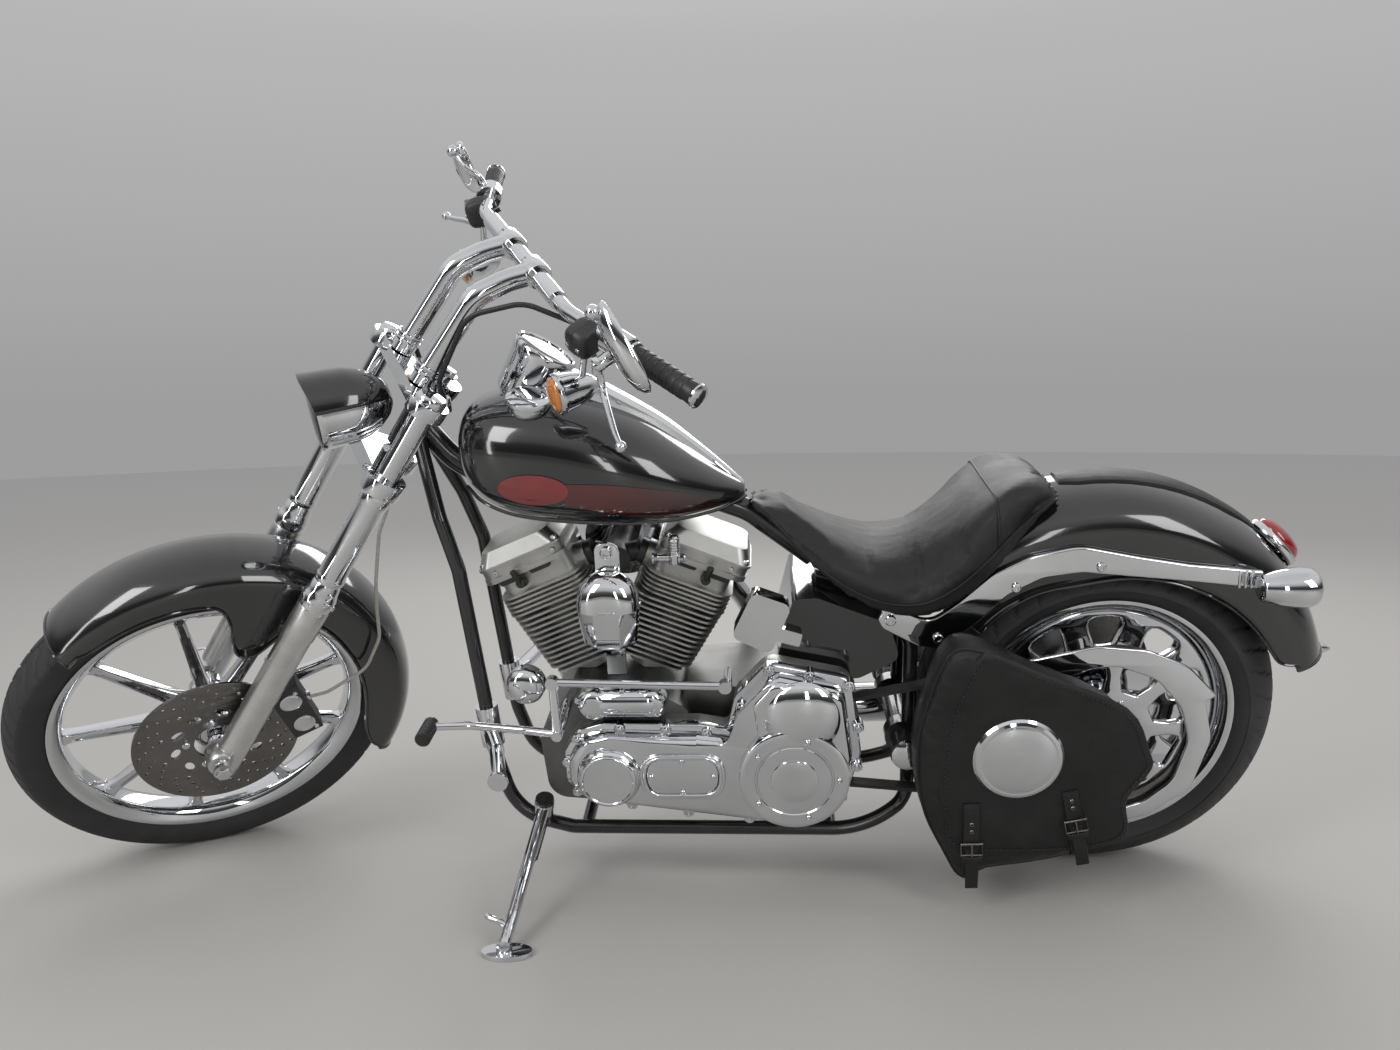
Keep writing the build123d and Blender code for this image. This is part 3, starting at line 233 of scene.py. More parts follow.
coated("grip_rubber", (0.010, 0.010, 0.010), (0.018, 0.018, 0.018), 0.38, 0.5, grain=0.0001)
coated("belt_rubber", (0.016, 0.016, 0.016), (0.028, 0.028, 0.028), 0.5, 0.65, grain=0.0001)
leather("black_leather", (0.006, 0.006, 0.006), (0.013, 0.013, 0.013), 520, 38)
coated("lamp_red", (0.22, 0.004, 0.004), (0.34, 0.01, 0.01), 0.05, 0.10, coat=1.0)
coated("lens_amber", (0.50, 0.16, 0.02), (0.68, 0.24, 0.03), 0.05, 0.10, coat=1.0)
glass("lens_clear", (0.93, 0.95, 0.96), 0.02)
metal("mirror_glass", (0.86, 0.87, 0.88), (0.90, 0.91, 0.92), 0.01, 0.02, scale=6)
# Painted shade: a darker copy of engine_silver that stands in for shade on the crankcase and transmission
metal("shaded_case_silver", (0.155, 0.155, 0.15), (0.185, 0.185, 0.18), 0.38, 0.46, scale=30, grain=0.00012)
faded("stripe_red", (0.075, 0.004, 0.005), (0.010, 0.006, 0.006), -0.08, 0.13)
coated("oval_red", (0.17, 0.009, 0.011), (0.21, 0.013, 0.015), 0.10, 0.16, coat=1.0)
coated("hose_grey", (0.33, 0.32, 0.29), (0.46, 0.45, 0.41), 0.35, 0.5, scale=300, grain=0.0002)

slot_of = {part["node"]: part["material_slot"] for part in frame["record"]["subparts"]}
for label, node in nodes.items():
    node.data.materials.clear()
    # The crankcase and transmission take the silver darkened by painted shade
    shaded_case = label in ("crankcase", "transmission")
    node.data.materials.append(MATERIALS["shaded_case_silver" if shaded_case else slot_of[label]])

# Drawing: lengths and directions of the upright motorcycle, then one object for each piece

ALONG = Vector((sin(RAKE), 0, cos(RAKE)))
BACK = Vector((cos(RAKE), 0, -sin(RAKE)))


def sideways(y):
    """Step of y to the rider's right."""
    return Vector((0, y, 0))


def on_fork(along, y, back=14.0):
    """Point at a height along the fork from the front axle."""
    return FRONT_HUB + ALONG * along + BACK * back + sideways(y)


def mirrored(point, side):
    """The same point on the left (side = -1) or right (side = 1)."""
    return Vector((point[0], side * point[1], point[2]))


def outward(turn):
    """Direction at a turn in the side view, away from a hub."""
    return Vector((cos(turn), 0, sin(turn)))


def turns(count):
    """Angles in equal steps round a circle."""
    return [2 * pi * i / count for i in range(count)]


def heading(points, i):
    """Direction of a line of points at point i."""
    return (points[min(i + 1, len(points) - 1)] - points[max(i - 1, 0)]).normalized()


def settle(name, mesh, body, slot, look=None, crisp=35):
    """Object of a mesh drawn in upright millimetres, parked, shaded and riding on its body."""
    mesh.transform(STANCE[body])
    mesh.materials.clear()
    mesh.materials.append(MATERIALS[look or slot])
    mesh.shade_smooth()
    if crisp:
        mesh.set_sharp_from_angle(angle=radians(crisp))
    obj = bpy.data.objects.new(name, mesh)
    bpy.context.scene.collection.objects.link(obj)
    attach(obj, body)
    return obj


def weld_points(mesh):
    """Join the points that lie together and turn the faces outwards."""
    shape = bmesh.new()
    shape.from_mesh(mesh)
    bmesh.ops.remove_doubles(shape, verts=shape.verts, dist=0.01)
    bmesh.ops.recalc_face_normals(shape, faces=shape.faces)
    shape.to_mesh(mesh)
    shape.free()


def solid(name, points, faces, body, slot, look=None, crisp=35):
    """Object of plain points and faces, its faces turned outwards."""
    mesh = bpy.data.meshes.new(name)
    mesh.from_pydata([tuple(point) for point in points], [], faces)
    weld_points(mesh)
    return settle(name, mesh, body, slot, look, crisp)


def skin(rings, caps=True, loop=False):
    """Points and faces of a skin over closed rings of equal count; loop joins the last to the first."""
    count = len(rings[0])
    points = [point for ring in rings for point in ring]
    faces = []
    for row in range(len(rings) if loop else len(rings) - 1):
        base, after = row * count, (row + 1) % len(rings) * count
        for i in range(count):
            j = (i + 1) % count
            faces.append((base + i, base + j, after + j, after + i))
    if caps and not loop:
        faces.append(tuple(reversed(range(count))))
        faces.append(tuple(range(len(points) - count, len(points))))
    return points, faces


def joined(parts):
    """One set of points and faces out of several."""
    points, faces = [], []
    for more_points, more_faces in parts:
        start = len(points)
        points += more_points
        faces += [tuple(index + start for index in face) for face in more_faces]
    return points, faces


def assemble(name, parts, body="chassis", slot="chrome", look=None, crisp=40, node=None):
    """Object of several skins; node is the CAD node that it stands for."""
    obj = solid(name, *joined(parts), body, slot, look, crisp)
    if node:
        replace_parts(obj, node)
    return obj


def open_sheet(rows):
    """Points and faces of an open sheet over rows of equal count."""
    count = len(rows[0])
    points = [point for row in rows for point in row]
    faces = [(r * count + i, r * count + i + 1, (r + 1) * count + i + 1, (r + 1) * count + i)
             for r in range(len(rows) - 1) for i in range(count - 1)]
    return points, faces


def thickened(obj, thick, offset):
    """The same open sheet with a thickness, inwards for offset -1 and both ways for 0."""
    sheet = obj.modifiers.new("sheet", "SOLIDIFY")
    sheet.thickness = thick * MM
    sheet.offset = offset
    return obj


def lathe(profile, hub, axis=RIGHT, count=96, loop=False):
    """Skin of a profile of (distance along the axis, radius) turned about a line through hub."""
    axis = Vector(axis).normalized()
    first = axis.orthogonal().normalized()
    second = axis.cross(first)
    rings = []
    for across, radius in profile:
        centre = Vector(hub) + axis * across
        rings.append([centre + (first * cos(turn) + second * sin(turn)) * radius
                      for turn in turns(count)])
    return skin(rings, loop=loop)


def ball(radius, spot, axis):
    """Skin of a ball."""
    arc = [pi * i / 12 for i in range(13)]
    profile = [(-radius * cos(turn), max(0.01, radius * sin(turn))) for turn in arc]
    return lathe(profile, spot, axis, 24)


def rounded(points, radii, steps=6):
    """Closed 2-D loop whose corners are rounded to the radii, in steps."""
    count = len(points)
    if not isinstance(radii, (list, tuple)):
        radii = [radii] * count
    loop = []
    for i, radius in enumerate(radii):
        corner = Vector(points[i])
        before = Vector(points[i - 1]) - corner
        after = Vector(points[(i + 1) % count]) - corner
        half = before.angle(after) / 2
        run = min(radius / tan(half), before.length * 0.48, after.length * 0.48)
        start, end = corner + before.normalized() * run, corner + after.normalized() * run
        for step in range(steps + 1):
            t = step / steps
            loop.append(start * (1 - t) ** 2 + corner * 2 * t * (1 - t) + end * t**2)
    return loop


def circle(x, z, radius, count=32, squash=1.0, tilt=0.0):
    """Closed 2-D ring, an ellipse where squash isn't 1, its long side turned by tilt degrees."""
    tilt = radians(tilt)
    ring = []
    for turn in turns(count):
        a, b = radius * cos(turn), radius * squash * sin(turn)
        ring.append(Vector((x + a * cos(tilt) - b * sin(tilt),
                            z + a * sin(tilt) + b * cos(tilt))))
    return ring


def turned_loop(loop, turn):
    """Closed 2-D loop turned about the origin."""
    c, s = cos(turn), sin(turn)
    return [Vector((p.x * c - p.y * s, p.x * s + p.y * c)) for p in loop]


def at_hub(hub, loops):
    """2-D loops that are drawn about the origin, moved to a wheel's hub."""
    return [[point + Vector((hub.x, hub.z)) for point in loop] for loop in loops]


def slab_mesh(name, loops, thick, edge, resolution=2):
    """Mesh of a flat piece with holes: side-view loops, thick deep in y about zero, with rounded edges."""
    curve = bpy.data.curves.new(name, "CURVE")
    curve.dimensions = "2D"
    curve.fill_mode = "BOTH"
    curve.extrude = thick / 2 - edge
    curve.bevel_depth = edge
    curve.offset = -edge
    curve.bevel_resolution = resolution
    for loop in loops:
        spline = curve.splines.new("POLY")
        spline.points.add(len(loop) - 1)
        for point, (x, z) in zip(spline.points, loop):
            point.co = (x, z, 0, 1)
        spline.use_cyclic_u = True
    holder = bpy.data.objects.new(name, curve)
    bpy.context.scene.collection.objects.link(holder)
    bpy.context.view_layer.update()
    mesh = bpy.data.meshes.new_from_object(holder.evaluated_get(bpy.context.evaluated_depsgraph_get()))
    bpy.data.objects.remove(holder)
    bpy.data.curves.remove(curve)
    mesh.name = name
    weld_points(mesh)
    return mesh


def stand_up(mesh, y):
    """Turn a flat mesh into the side view, at y."""
    mesh.transform(Matrix.Translation((0, y, 0)) @ Matrix.Rotation(radians(90), 4, "X"))


def slab(name, loops, y_low, y_high, edge, body, slot, crisp=35):
    """Flat piece with holes between y_low and y_high, drawn by its side-view loops."""
    mesh = slab_mesh(name, loops, y_high - y_low, edge)
    stand_up(mesh, (y_low + y_high) / 2)
    return settle(name, mesh, body, slot, crisp=crisp)


def skin_of(mesh):
    """Points and faces of a mesh, which is then removed."""
    taken = [vertex.co.copy() for vertex in mesh.vertices], [tuple(face.vertices) for face in mesh.polygons]
    bpy.data.meshes.remove(mesh)
    return taken


def between(a, b, c, d, steps):
    """Points from b towards c on a smooth curve past a, b, c and d (Catmull-Rom)."""
    for step in range(steps):
        t = step / steps
        yield (b * 2 + (c - a) * t + (a * 2 - b * 5 + c * 4 - d) * t**2 + (b * 3 - a - c * 3 + d) * t**3) / 2


def smooth_line(points, steps=6):
    """Points along a smooth curve through the given ones, of any dimension."""
    points = [Vector(point) for point in points]
    ends = [points[0] * 2 - points[1]] + points + [points[-1] * 2 - points[-2]]
    line = []
    for i in range(1, len(ends) - 2):
        line += between(*ends[i - 1:i + 3], steps)
    return line + [points[-1]]


def smooth_loop(points, steps=4):
    """Closed smooth curve through the given points."""
    points = [Vector(point) for point in points]
    count = len(points)
    loop = []
    for i in range(count):
        loop += between(points[i - 1], points[i], points[(i + 1) % count], points[(i + 2) % count], steps)
    return loop


def lofted(rings, steps=4):
    """Skin over closed rings that runs smoothly from one to the next."""
    columns = [smooth_line([ring[i] for ring in rings], steps) for i in range(len(rings[0]))]
    return skin([[column[row] for column in columns] for row in range(len(columns[0]))])


def subdivided(obj):
    """The same object under a subdivision surface."""
    modifier = obj.modifiers.new("subdivision", "SUBSURF")
    modifier.levels = 1
    modifier.render_levels = 1
    return obj


CLOTH_FRAMES = 20
VOXEL = 6
PRESSURE = 4
HELD = 1.0


def swell(obj, cap, shrink, held):
    """Stuff a closed form by cloth simulation: points move cap at most, but HELD where they face held."""
    scene = bpy.context.scene
    form = bpy.data.objects.new(obj.name + "_form", obj.data.copy())
    scene.collection.objects.link(form)
    normals = [vertex.normal.copy() for vertex in form.data.vertices]
    for vertex, normal in zip(form.data.vertices, normals):
        vertex.co -= normal * shrink * MM
    remesh = form.modifiers.new("remesh", "REMESH")
    remesh.mode = "VOXEL"
    remesh.voxel_size = VOXEL * MM
    bpy.context.view_layer.update()
    mesh = bpy.data.meshes.new_from_object(form.evaluated_get(bpy.context.evaluated_depsgraph_get()))
    form.modifiers.clear()
    form.data = mesh
    starts = [vertex.co.copy() for vertex in mesh.vertices]
    normals = [vertex.normal.copy() for vertex in mesh.vertices]
    cloth = form.modifiers.new("cloth", "CLOTH")
    cloth.settings.quality = 5
    cloth.settings.use_pressure = True
    cloth.settings.uniform_pressure_force = PRESSURE
    cloth.settings.effector_weights.gravity = 0
    cloth.point_cache.frame_start = 1
    cloth.point_cache.frame_end = CLOTH_FRAMES
    for step in range(1, CLOTH_FRAMES + 1):
        scene.frame_set(step)
    swelled = form.evaluated_get(bpy.context.evaluated_depsgraph_get()).data
    ends = [vertex.co.copy() for vertex in swelled.vertices]
    form.modifiers.clear()
    scene.frame_set(1)
    for vertex, start, end, normal in zip(mesh.vertices, starts, ends, normals):
        move = end - start
        limit = (HELD if normal.dot(Vector(held)) > 0.3 else cap) * MM
        vertex.co = start + move * min(1.0, limit / max(move.length, 1e-9))
    old = obj.data
    mesh.materials.clear()
    mesh.materials.append(old.materials[0])
    mesh.shade_smooth()
    obj.data = mesh
    bpy.data.objects.remove(form)
    bpy.data.meshes.remove(old)
    return subdivided(obj)


def tree_of(obj, body):
    """Search tree of an object's mesh in upright millimetres."""
    back = STANCE[body].inverted()
    return BVHTree.FromPolygons([back @ vertex.co for vertex in obj.data.vertices],
                                [tuple(face.vertices) for face in obj.data.polygons])


def bent_tube(points, radius, count=16):
    """Skin of a round tube along points; radius is a number or one for each point."""
    points = [Vector(point) for point in points]
    if not isinstance(radius, (list, tuple)):
        radius = [radius] * len(points)
    rings = []
    side = None
    for i, point in enumerate(points):
        along = heading(points, i)
        side = along.orthogonal() if side is None else side - along * side.dot(along)
        side.normalize()
        other = along.cross(side)
        rings.append([point + (side * cos(turn) + other * sin(turn)) * radius[i]
                      for turn in turns(count)])
    return skin(rings)


def ball_end(start, end, radius):
    """Skin of a round bar with softly rounded ends."""
    start, end = Vector(start), Vector(end)
    length = (end - start).length
    soft = radius * 0.35
    profile = [(0, 0.001), (0, radius - soft), (soft * 0.3, radius - soft * 0.3), (soft, radius),
               (length - soft, radius), (length - soft * 0.3, radius - soft * 0.3), (length, radius - soft),
               (length, 0.001)]
    return lathe(profile, start, end - start, 32)


def disc(spot, direction, profile, count=32):
    """Skin of a turned part at a spot: profile is (distance, radius), closed at both ends."""
    ends = [(profile[0][0], 0.01)] + list(profile) + [(profile[-1][0], 0.01)]
    return lathe(ends, spot, direction, count)


def bolt(spot, direction, radius, high):
    """Domed socket bolt."""
    return disc(spot, direction, [(0, radius), (high * 0.7, radius), (high, radius * 0.8),
                                  (high, radius * 0.5), (high * 0.55, radius * 0.45)], 20)


def hexagon(spot, direction, radius, high):
    """Hexagon nut on a washer."""
    return joined([disc(spot, direction, [(0, radius * 1.25), (high * 0.25, radius * 1.25)], 32),
                   disc(spot, direction, [(0, radius), (high * 0.9, radius), (high, radius * 0.86)], 6)])


def casting(loop, y_start, y_end, inset, share=0.4, steps=5):
    """Skin between two side views of one loop; towards y_end its edge rolls over by inset."""
    centre = sum((Vector(point) for point in loop), Vector((0, 0))) / len(loop)
    stations = [(y_start, 0.0)]
    deep = (y_end - y_start) * share
    for step in range(steps + 1):
        turn = pi / 2 * step / steps
        stations.append((y_end - deep * (1 - sin(turn)), inset * (1 - cos(turn))))
    rings = []
    for y, drawn in stations:
        ring = []
        for point in loop:
            away = Vector(point) - centre
            point = centre + away * max(0.02, 1 - drawn / away.length)
            ring.append(Vector((point.x, y, point.y)))
        rings.append(ring)
    return skin(rings)


# Tyres, with a moulded tread


def tyre(name, hub, radius, crown, half, side, bead_half, bead, inner, steps, groove, period, slant, body):
    """Tyre with slanted tread grooves that are cut into its mesh."""
    top = asin(half / crown)
    rows = 34
    tread = []
    for i in range(rows + 1):
        angle = -top + 2 * top * i / rows
        tread.append((crown * sin(angle), radius - crown + crown * cos(angle), crown * angle))
    shoulder = tread[-1][1]
    wall = [(half + 0.5, shoulder - 6), (half, side + 6), (half - 3, (side + bead) / 2 + 2),
            (bead_half + 5, bead + 5), (bead_half + 3, bead - 1), (bead_half, bead - 3), (bead_half, inner)]
    profile = [(-y, r, None) for y, r in reversed(wall)] + tread + [(y, r, None) for y, r in wall]
    reach = crown * top
    rings = []
    for turn in turns(steps):
        ring = []
        for y, r, across in profile:
            depth = 0.0
            if across is not None and abs(across) < reach * 0.97:
                phase = (turn * radius - slant * abs(across) + (period / 2 if across > 0 else 0)) % period
                near = abs(phase - period / 2)
                if abs(across) > groove * 1.4:
                    depth = groove * max(0.0, min(1.0, (groove * 0.62 - near) / 1.1 + 0.5))
                if abs(across) < groove * 0.45:
                    depth = groove
            r -= depth
            ring.append(hub + Vector((r * cos(turn), y, r * sin(turn))))
        rings.append(ring)
    return solid(name, *skin(rings, loop=True), body, "tyre_rubber", crisp=50)


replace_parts(tyre("front_tread", FRONT_HUB, 345, 58, 44.5, 303, 30, 280, 266.5, 864, 3.6, 36, 0.9,
                 "front_wheel"), "front_tyre")
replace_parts(tyre("rear_tread", REAR_HUB, 326, 105, 97, 258, 77, 234, 217.5, 820, 4.2, 56, 0.8,
                 "rear_wheel"), "rear_tyre")

# Front wheel: a stepped rim, nine grooved spokes, a hub and a tyre valve

FRONT_SPOKES = 9
rim = [(-36, 272), (-36, 278), (-34, 279), (-31.5, 278), (-30.5, 268), (-12, 262), (12, 262), (30.5, 268),
       (31.5, 278), (34, 279), (36, 278), (36, 272), (34, 268), (27, 261), (22, 254), (12, 251), (-12, 251),
       (-22, 254), (-27, 261), (-34, 268)]
hub_form = [(-72, 12.5), (-72, 27), (-70, 30), (-64, 31), (-60, 38), (-46, 40), (-42, 32), (-24, 30),
            (-20, 42), (20, 42), (24, 30), (50, 30), (54, 34), (70, 34), (72, 32), (72, 12.5)]
# distance from the hub, half depth, half width, groove
spoke_stations = [(30, 24, 15, 0), (52, 19.5, 13.5, 0), (68, 17, 12.5, 4), (110, 14, 11.4, 5),
                  (170, 12.2, 10, 5), (222, 11, 9.2, 4), (238, 11.4, 9.8, 0), (248, 12.6, 12, 0),
                  (254, 14, 16, 0)]


def spoke_ring(angle, radius, deep, wide, groove):
    """Section of a spoke: deep in y, wide along the rim, with a groove down both faces."""
    along = Vector((-sin(angle), 0, cos(angle)))
    quarter = [(1.0, 0.0), (1.0, 0.72), (0.88, 0.94), (0.72, 1.0), (0.54, 1.0), (0.40, None), (0.0, None)]
    half = [(a * wide, deep - groove if share is None else deep * share)
            for a, share in quarter + [(-a, share) for a, share in reversed(quarter[:-1])]]
    full = half + [(-a, -y) for a, y in half[1:-1]]
    return [FRONT_HUB + outward(angle) * radius + along * a + sideways(y) for a, y in full]


parts = [lathe(rim, FRONT_HUB, count=180, loop=True), lathe(hub_form, FRONT_HUB, count=64, loop=True)]
for index in range(FRONT_SPOKES):
    angle = radians(90 + index * 360 / FRONT_SPOKES)
    parts.append(skin([spoke_ring(angle, *station) for station in spoke_stations]))
assemble("front_wheel_rim", parts, "front_wheel", node="front_rim")
out = outward(radians(200))
valve = lathe([(0, 4.5), (4, 4.5), (5, 3), (20, 3), (21, 4.2), (30, 4.2), (31, 3)],
              FRONT_HUB + out * 250 + sideways(-12), -out + sideways(-0.5), 20)
solid("front_valve", *valve, "front_wheel", "chrome")

# Front brake disc: small holes in rows, oval windows round the hub and a ring of bolts

loops = [circle(0, 0, 146, 128), circle(0, 0, 41, 48)]
for index in range(10):
    turn = 360 * index / 10
    angle = radians(turn)
    loops.append(circle(74 * cos(angle), 74 * sin(angle), 13, 20, 0.62, turn + 60))
    loops.append(circle(98 * cos(angle + 0.18), 98 * sin(angle + 0.18), 4.2, 12))
for ring, radius in enumerate((110, 122, 134)):
    for index in range(20):
        angle = 2 * pi * (index / 20 + ring * 0.0165)
        loops.append(circle(radius * cos(angle), radius * sin(angle), 3.4, 10))
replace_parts(slab("front_brake_disc", at_hub(FRONT_HUB, loops), -87, -81, 0.5, "front_wheel", "disc_steel",
                 crisp=30), "front_disc")
bolts = []
for index in range(5):
    angle = 2 * pi * (index / 5 + 0.05)
    spot = FRONT_HUB + Vector((55 * cos(angle), -87, 55 * sin(angle)))
    bolts.append(lathe([(2, 0.01), (0, 7.5), (-4, 7.5), (-5.5, 6), (-5.5, 0.01)], spot, count=24))
assemble("front_disc_bolts", bolts, "front_wheel", crisp=35)

# Rear wheel: a dished rim with rounded windows, seen past a pierced sprocket

rear_rim_form = [(-84, 226), (-84, 232), (-82, 233), (-79, 232), (-77, 220), (-40, 210), (40, 210), (77, 220),
                 (79, 232), (82, 233), (84, 232), (84, 226), (82, 221), (74, 215), (60, 204), (20, 199),
                 (-14, 199), (-30, 203), (-44, 206), (-60, 208), (-74, 215), (-82, 221)]
REAR_WINDOWS = 10
BELT_SIDE = -117.0
loops = [circle(0, 0, 206, 120), circle(0, 0, 30, 48)]
window = rounded([(128, -15), (188, -38), (188, 38), (128, 15)], [10, 20, 20, 10], 4)
for index in range(REAR_WINDOWS):
    loops.append(turned_loop(window, 2 * pi * (index + 0.5) / REAR_WINDOWS))
dish = slab_mesh("rear_dish", at_hub(REAR_HUB, loops), 26, 7, 3)
stand_up(dish, -46)
settle("rear_dish", dish, "rear_wheel", "chrome", crisp=40)
rear_hub_form = [(-96, 12.5), (-96, 42), (-94, 44), (-70, 44), (-62, 58), (-30, 58), (-24, 44), (94, 44),
                 (96, 42), (96, 12.5)]
parts = [lathe(rear_rim_form, REAR_HUB, count=180, loop=True),
         lathe(rear_hub_form, REAR_HUB, count=72, loop=True)]
assemble("rear_wheel_rim", parts, "rear_wheel", node="rear_rim")

# Fuel tank: a teardrop that is blunt in front, with a lip along its lower edge

# x, half width, top, height of the widest line, bottom
TANK = [
    (-290, 40, 880, 862, 842), (-284, 72, 905, 856, 812), (-268, 104, 928, 850, 776),
    (-236, 130, 944, 844, 748), (-180, 146, 953, 836, 724), (-90, 152, 946, 822, 713),
    (20, 141, 904, 796, 711), (100, 112, 850, 775, 716), (160, 74, 803, 760, 726), (195, 42, 776, 754, 736),
    (210, 16, 762, 750, 742),
]


def tank_ring(x, half, top, wide, low):
    """Section of the tank: full above its widest line, tucked in below it."""
    ring = []
    for turn in turns(40):
        c, s = cos(turn), sin(turn)
        y = half * copysign(abs(c) ** 0.86, c)
        reach, power = (top - wide, 0.84) if s > 0 else (wide - low, 0.74)
        ring.append(Vector((x, y, wide + reach * copysign(abs(s) ** power, s))))
    return ring


tank = lofted([tank_ring(*station) for station in TANK])
tank = solid("tank_shell", *tank, "chassis", "gloss_black", crisp=50)
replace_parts(subdivided(tank), "fuel_tank")
lip = smooth_line([(x, half * 0.93 + 1, wide - (wide - low) * 0.72) for x, half, top, wide, low in TANK[2:]])
seams = [bent_tube([mirrored(point, side) for point in lip], 3.2, 10) for side in SIDES]
assemble("tank_seams", seams, slot="gloss_black", crisp=35)

# Console along the tank's crown, the round instrument and the two filler caps

# x, half width, top, bottom
CONSOLE = [(-205, 30, 962, 935), (-180, 42, 978, 935), (-120, 46, 985, 930), (-60, 43, 966, 915),
           (10, 38, 928, 880), (75, 31, 887, 840), (130, 24, 842, 800), (178, 17, 798, 768),
           (208, 9, 768, 752)]


def console_ring(x, half, top, low):
    """Section of the console: flat sides and a crowned top."""
    mid = (top + low) / 2
    points = [(half, low), (half, mid), (half * 0.94, top - 7), (half * 0.7, top - 2), (0, top),
              (-half * 0.7, top - 2), (-half * 0.94, top - 7), (-half, mid), (-half, low), (0, low)]
    return [Vector((x, y, z)) for y, z in points]


console = lofted([console_ring(*station) for station in CONSOLE], 5)
assemble("console_strip", [console], node="dash_console")
GAUGE_AXIS = Vector((0.54, 0, 0.84)).normalized()
GAUGE_TOP = Vector((-131, 0, 1012))
pod = lathe([(-96, 44), (-88, 49), (-20, 55), (-14, 57.5), (-2, 58.5), (3, 57), (5, 54), (3, 51), (-1, 50)],
            GAUGE_TOP, GAUGE_AXIS, 72)
solid("gauge_pod", *pod, "chassis", "chrome", crisp=40)
lens = lathe([(0, 50.5), (2.2, 46), (3.6, 30), (4.2, 12), (4.3, 0.01)], GAUGE_TOP, GAUGE_AXIS, 72)
solid("gauge_glass", *lens, "chassis", "gloss_black", crisp=0)
for side, name in ((-1, "cap_left"), (1, "cap_right")):
    spot = Vector((-151, side * 84, 935))
    tilt = Vector((0.12, side * 0.28, 0.95)).normalized()
    form = [(-14, 35), (-4, 37), (4, 37), (5, 39), (11, 40), (15, 38.5), (17, 33), (18.5, 20), (19, 0.01)]
    assemble(name, [lathe(form, spot, tilt, 60)])

# Fenders: flared shells that wrap the tyres, the front one with ears that reach down to the fork legs

FENDER_HUB = Vector((-838, 0, 357))
# angle, crown radius, lowest radius of the side
FRONT_FENDER = [
    (-34, 366, 352), (-31, 367, 300), (-20, 368, 272), (0, 370, 268), (22, 374, 275), (36, 378, 284),
    (44, 380, 286), (50, 381, 270), (55, 381, 225), (59, 381, 196), (64, 380, 186), (69, 379, 190),
    (72, 379, 215), (74, 378, 262), (78, 377, 298), (85, 375, 309), (100, 370, 312), (112, 364, 311),
    (119, 360, 313), (123, 358, 325), (126, 356, 344),
]
REAR_FENDER_HUB = Vector((830, 0, 345))
REAR_FENDER_R = 421
REAR_FENDER = [(angle, REAR_FENDER_R, low) for angle, low in (
    (15, 396), (16.5, 352), (19, 322), (24, 312), (35, 304), (50, 292), (62, 283), (80, 272), (100, 262),
    (118, 270), (132, 272), (142, 272))]


def fender_shell(name, hub, stations, half, drop, body, ease):
    """Bent sheet over a wheel: crowned across, straight down its sides to a rolled edge."""
    rows = []
    for angle, crown, low in smooth_line(stations, 5):
        row = []
        for i in range(-14, 15):
            share = i / 14
            if abs(share) <= 0.7:
                turn = share / 0.7 * pi / 2
                y = half * copysign(abs(sin(turn)) ** ease, turn)
                r = crown - drop * (1 - cos(turn))
            else:
                down = (abs(share) - 0.7) / 0.3
                y = copysign(half, share)
                r = (crown - drop) * (1 - down) + min(low, crown - drop) * down
            row.append(hub + outward(radians(angle)) * r + sideways(y))
        rows.append(row)
    wide = len(rows[0])
    points = [point for row in rows for point in row]
    faces = [(base + i, base + i + 1, base + i + 1 - wide, base + i - wide)
             for base in range(wide, len(points), wide) for i in range(wide - 1)]
    shell = thickened(solid(name, points, faces, body, "gloss_black", crisp=60), 3, -1)
    rim_line = [row[0] for row in rows] + rows[-1][1:-1]
    rim_line += [row[-1] for row in reversed(rows)] + rows[0][-2:0:-1]
    line = [rim_line[0]]
    for point in rim_line[1:]:
        if (point - line[-1]).length > 5:
            line.append(point)
    solid(name + "_edge", *bent_tube(line + line[:2], 2.6, 8), body, "gloss_black")
    return shell


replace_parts(fender_shell("front_fender_shell", FENDER_HUB, FRONT_FENDER, 78, 40, "steering", 0.92),
            "front_fender")
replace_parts(fender_shell("rear_fender_shell", REAR_FENDER_HUB, REAR_FENDER, 118, 74, "chassis", 0.95),
            "rear_fender")
bosses = []
for side in SIDES:
    for along in (205, 268):
        bosses.append(ball_end(on_fork(along, side * 74), on_fork(along, side * 99), 10))
        bosses.append(lathe([(0, 0.01), (0, 6), (4, 6), (5, 4.5), (5, 0.01)], on_fork(along, side * 78),
                            (0, side, 0), 6))
assemble("front_fender_bosses", bosses, "steering", crisp=35)

# Solo seat: a deep bucket of stuffed leather with a raised rear edge

# x, half width, middle top, top near the edge, lower edge, middle of the underside
SEAT = [
    (214, 34, 749, 745, 733, 737), (224, 52, 752, 748, 722, 732), (256, 78, 742, 736, 700, 708),
    (305, 104, 713, 694, 650, 668), (370, 138, 682, 655, 598, 630), (438, 158, 664, 634, 566, 606),
    (505, 164, 676, 640, 558, 616), (562, 163, 713, 682, 576, 668), (612, 157, 749, 736, 616, 704),
    (660, 144, 774, 772, 664, 730), (705, 126, 779, 776, 718, 746), (738, 106, 770, 764, 742, 754),
    (754, 84, 758, 752, 746, 752),
]


def seat_ring(x, half, top, edge, low, pan):
    """Section of the seat: a dished top, full sides and an underside that clears what carries it."""
    deep = edge - low
    points = [(0, top), (half * 0.34, top + (edge - top) * 0.2), (half * 0.62, top + (edge - top) * 0.66 + 3),
              (half * 0.82, edge), (half * 0.95, edge - deep * 0.16), (half, edge - deep * 0.42),
              (half * 0.985, edge - deep * 0.75), (half * 0.95, low), (half * 0.86, low + deep * 0.12),
              (half * 0.8, (low + pan) / 2), (half * 0.5, pan - 1), (0, pan)]
    opposite = [(-y, z) for y, z in reversed(points[1:-1])]
    return smooth_loop([Vector((x, y, z)) for y, z in points + opposite], 2)


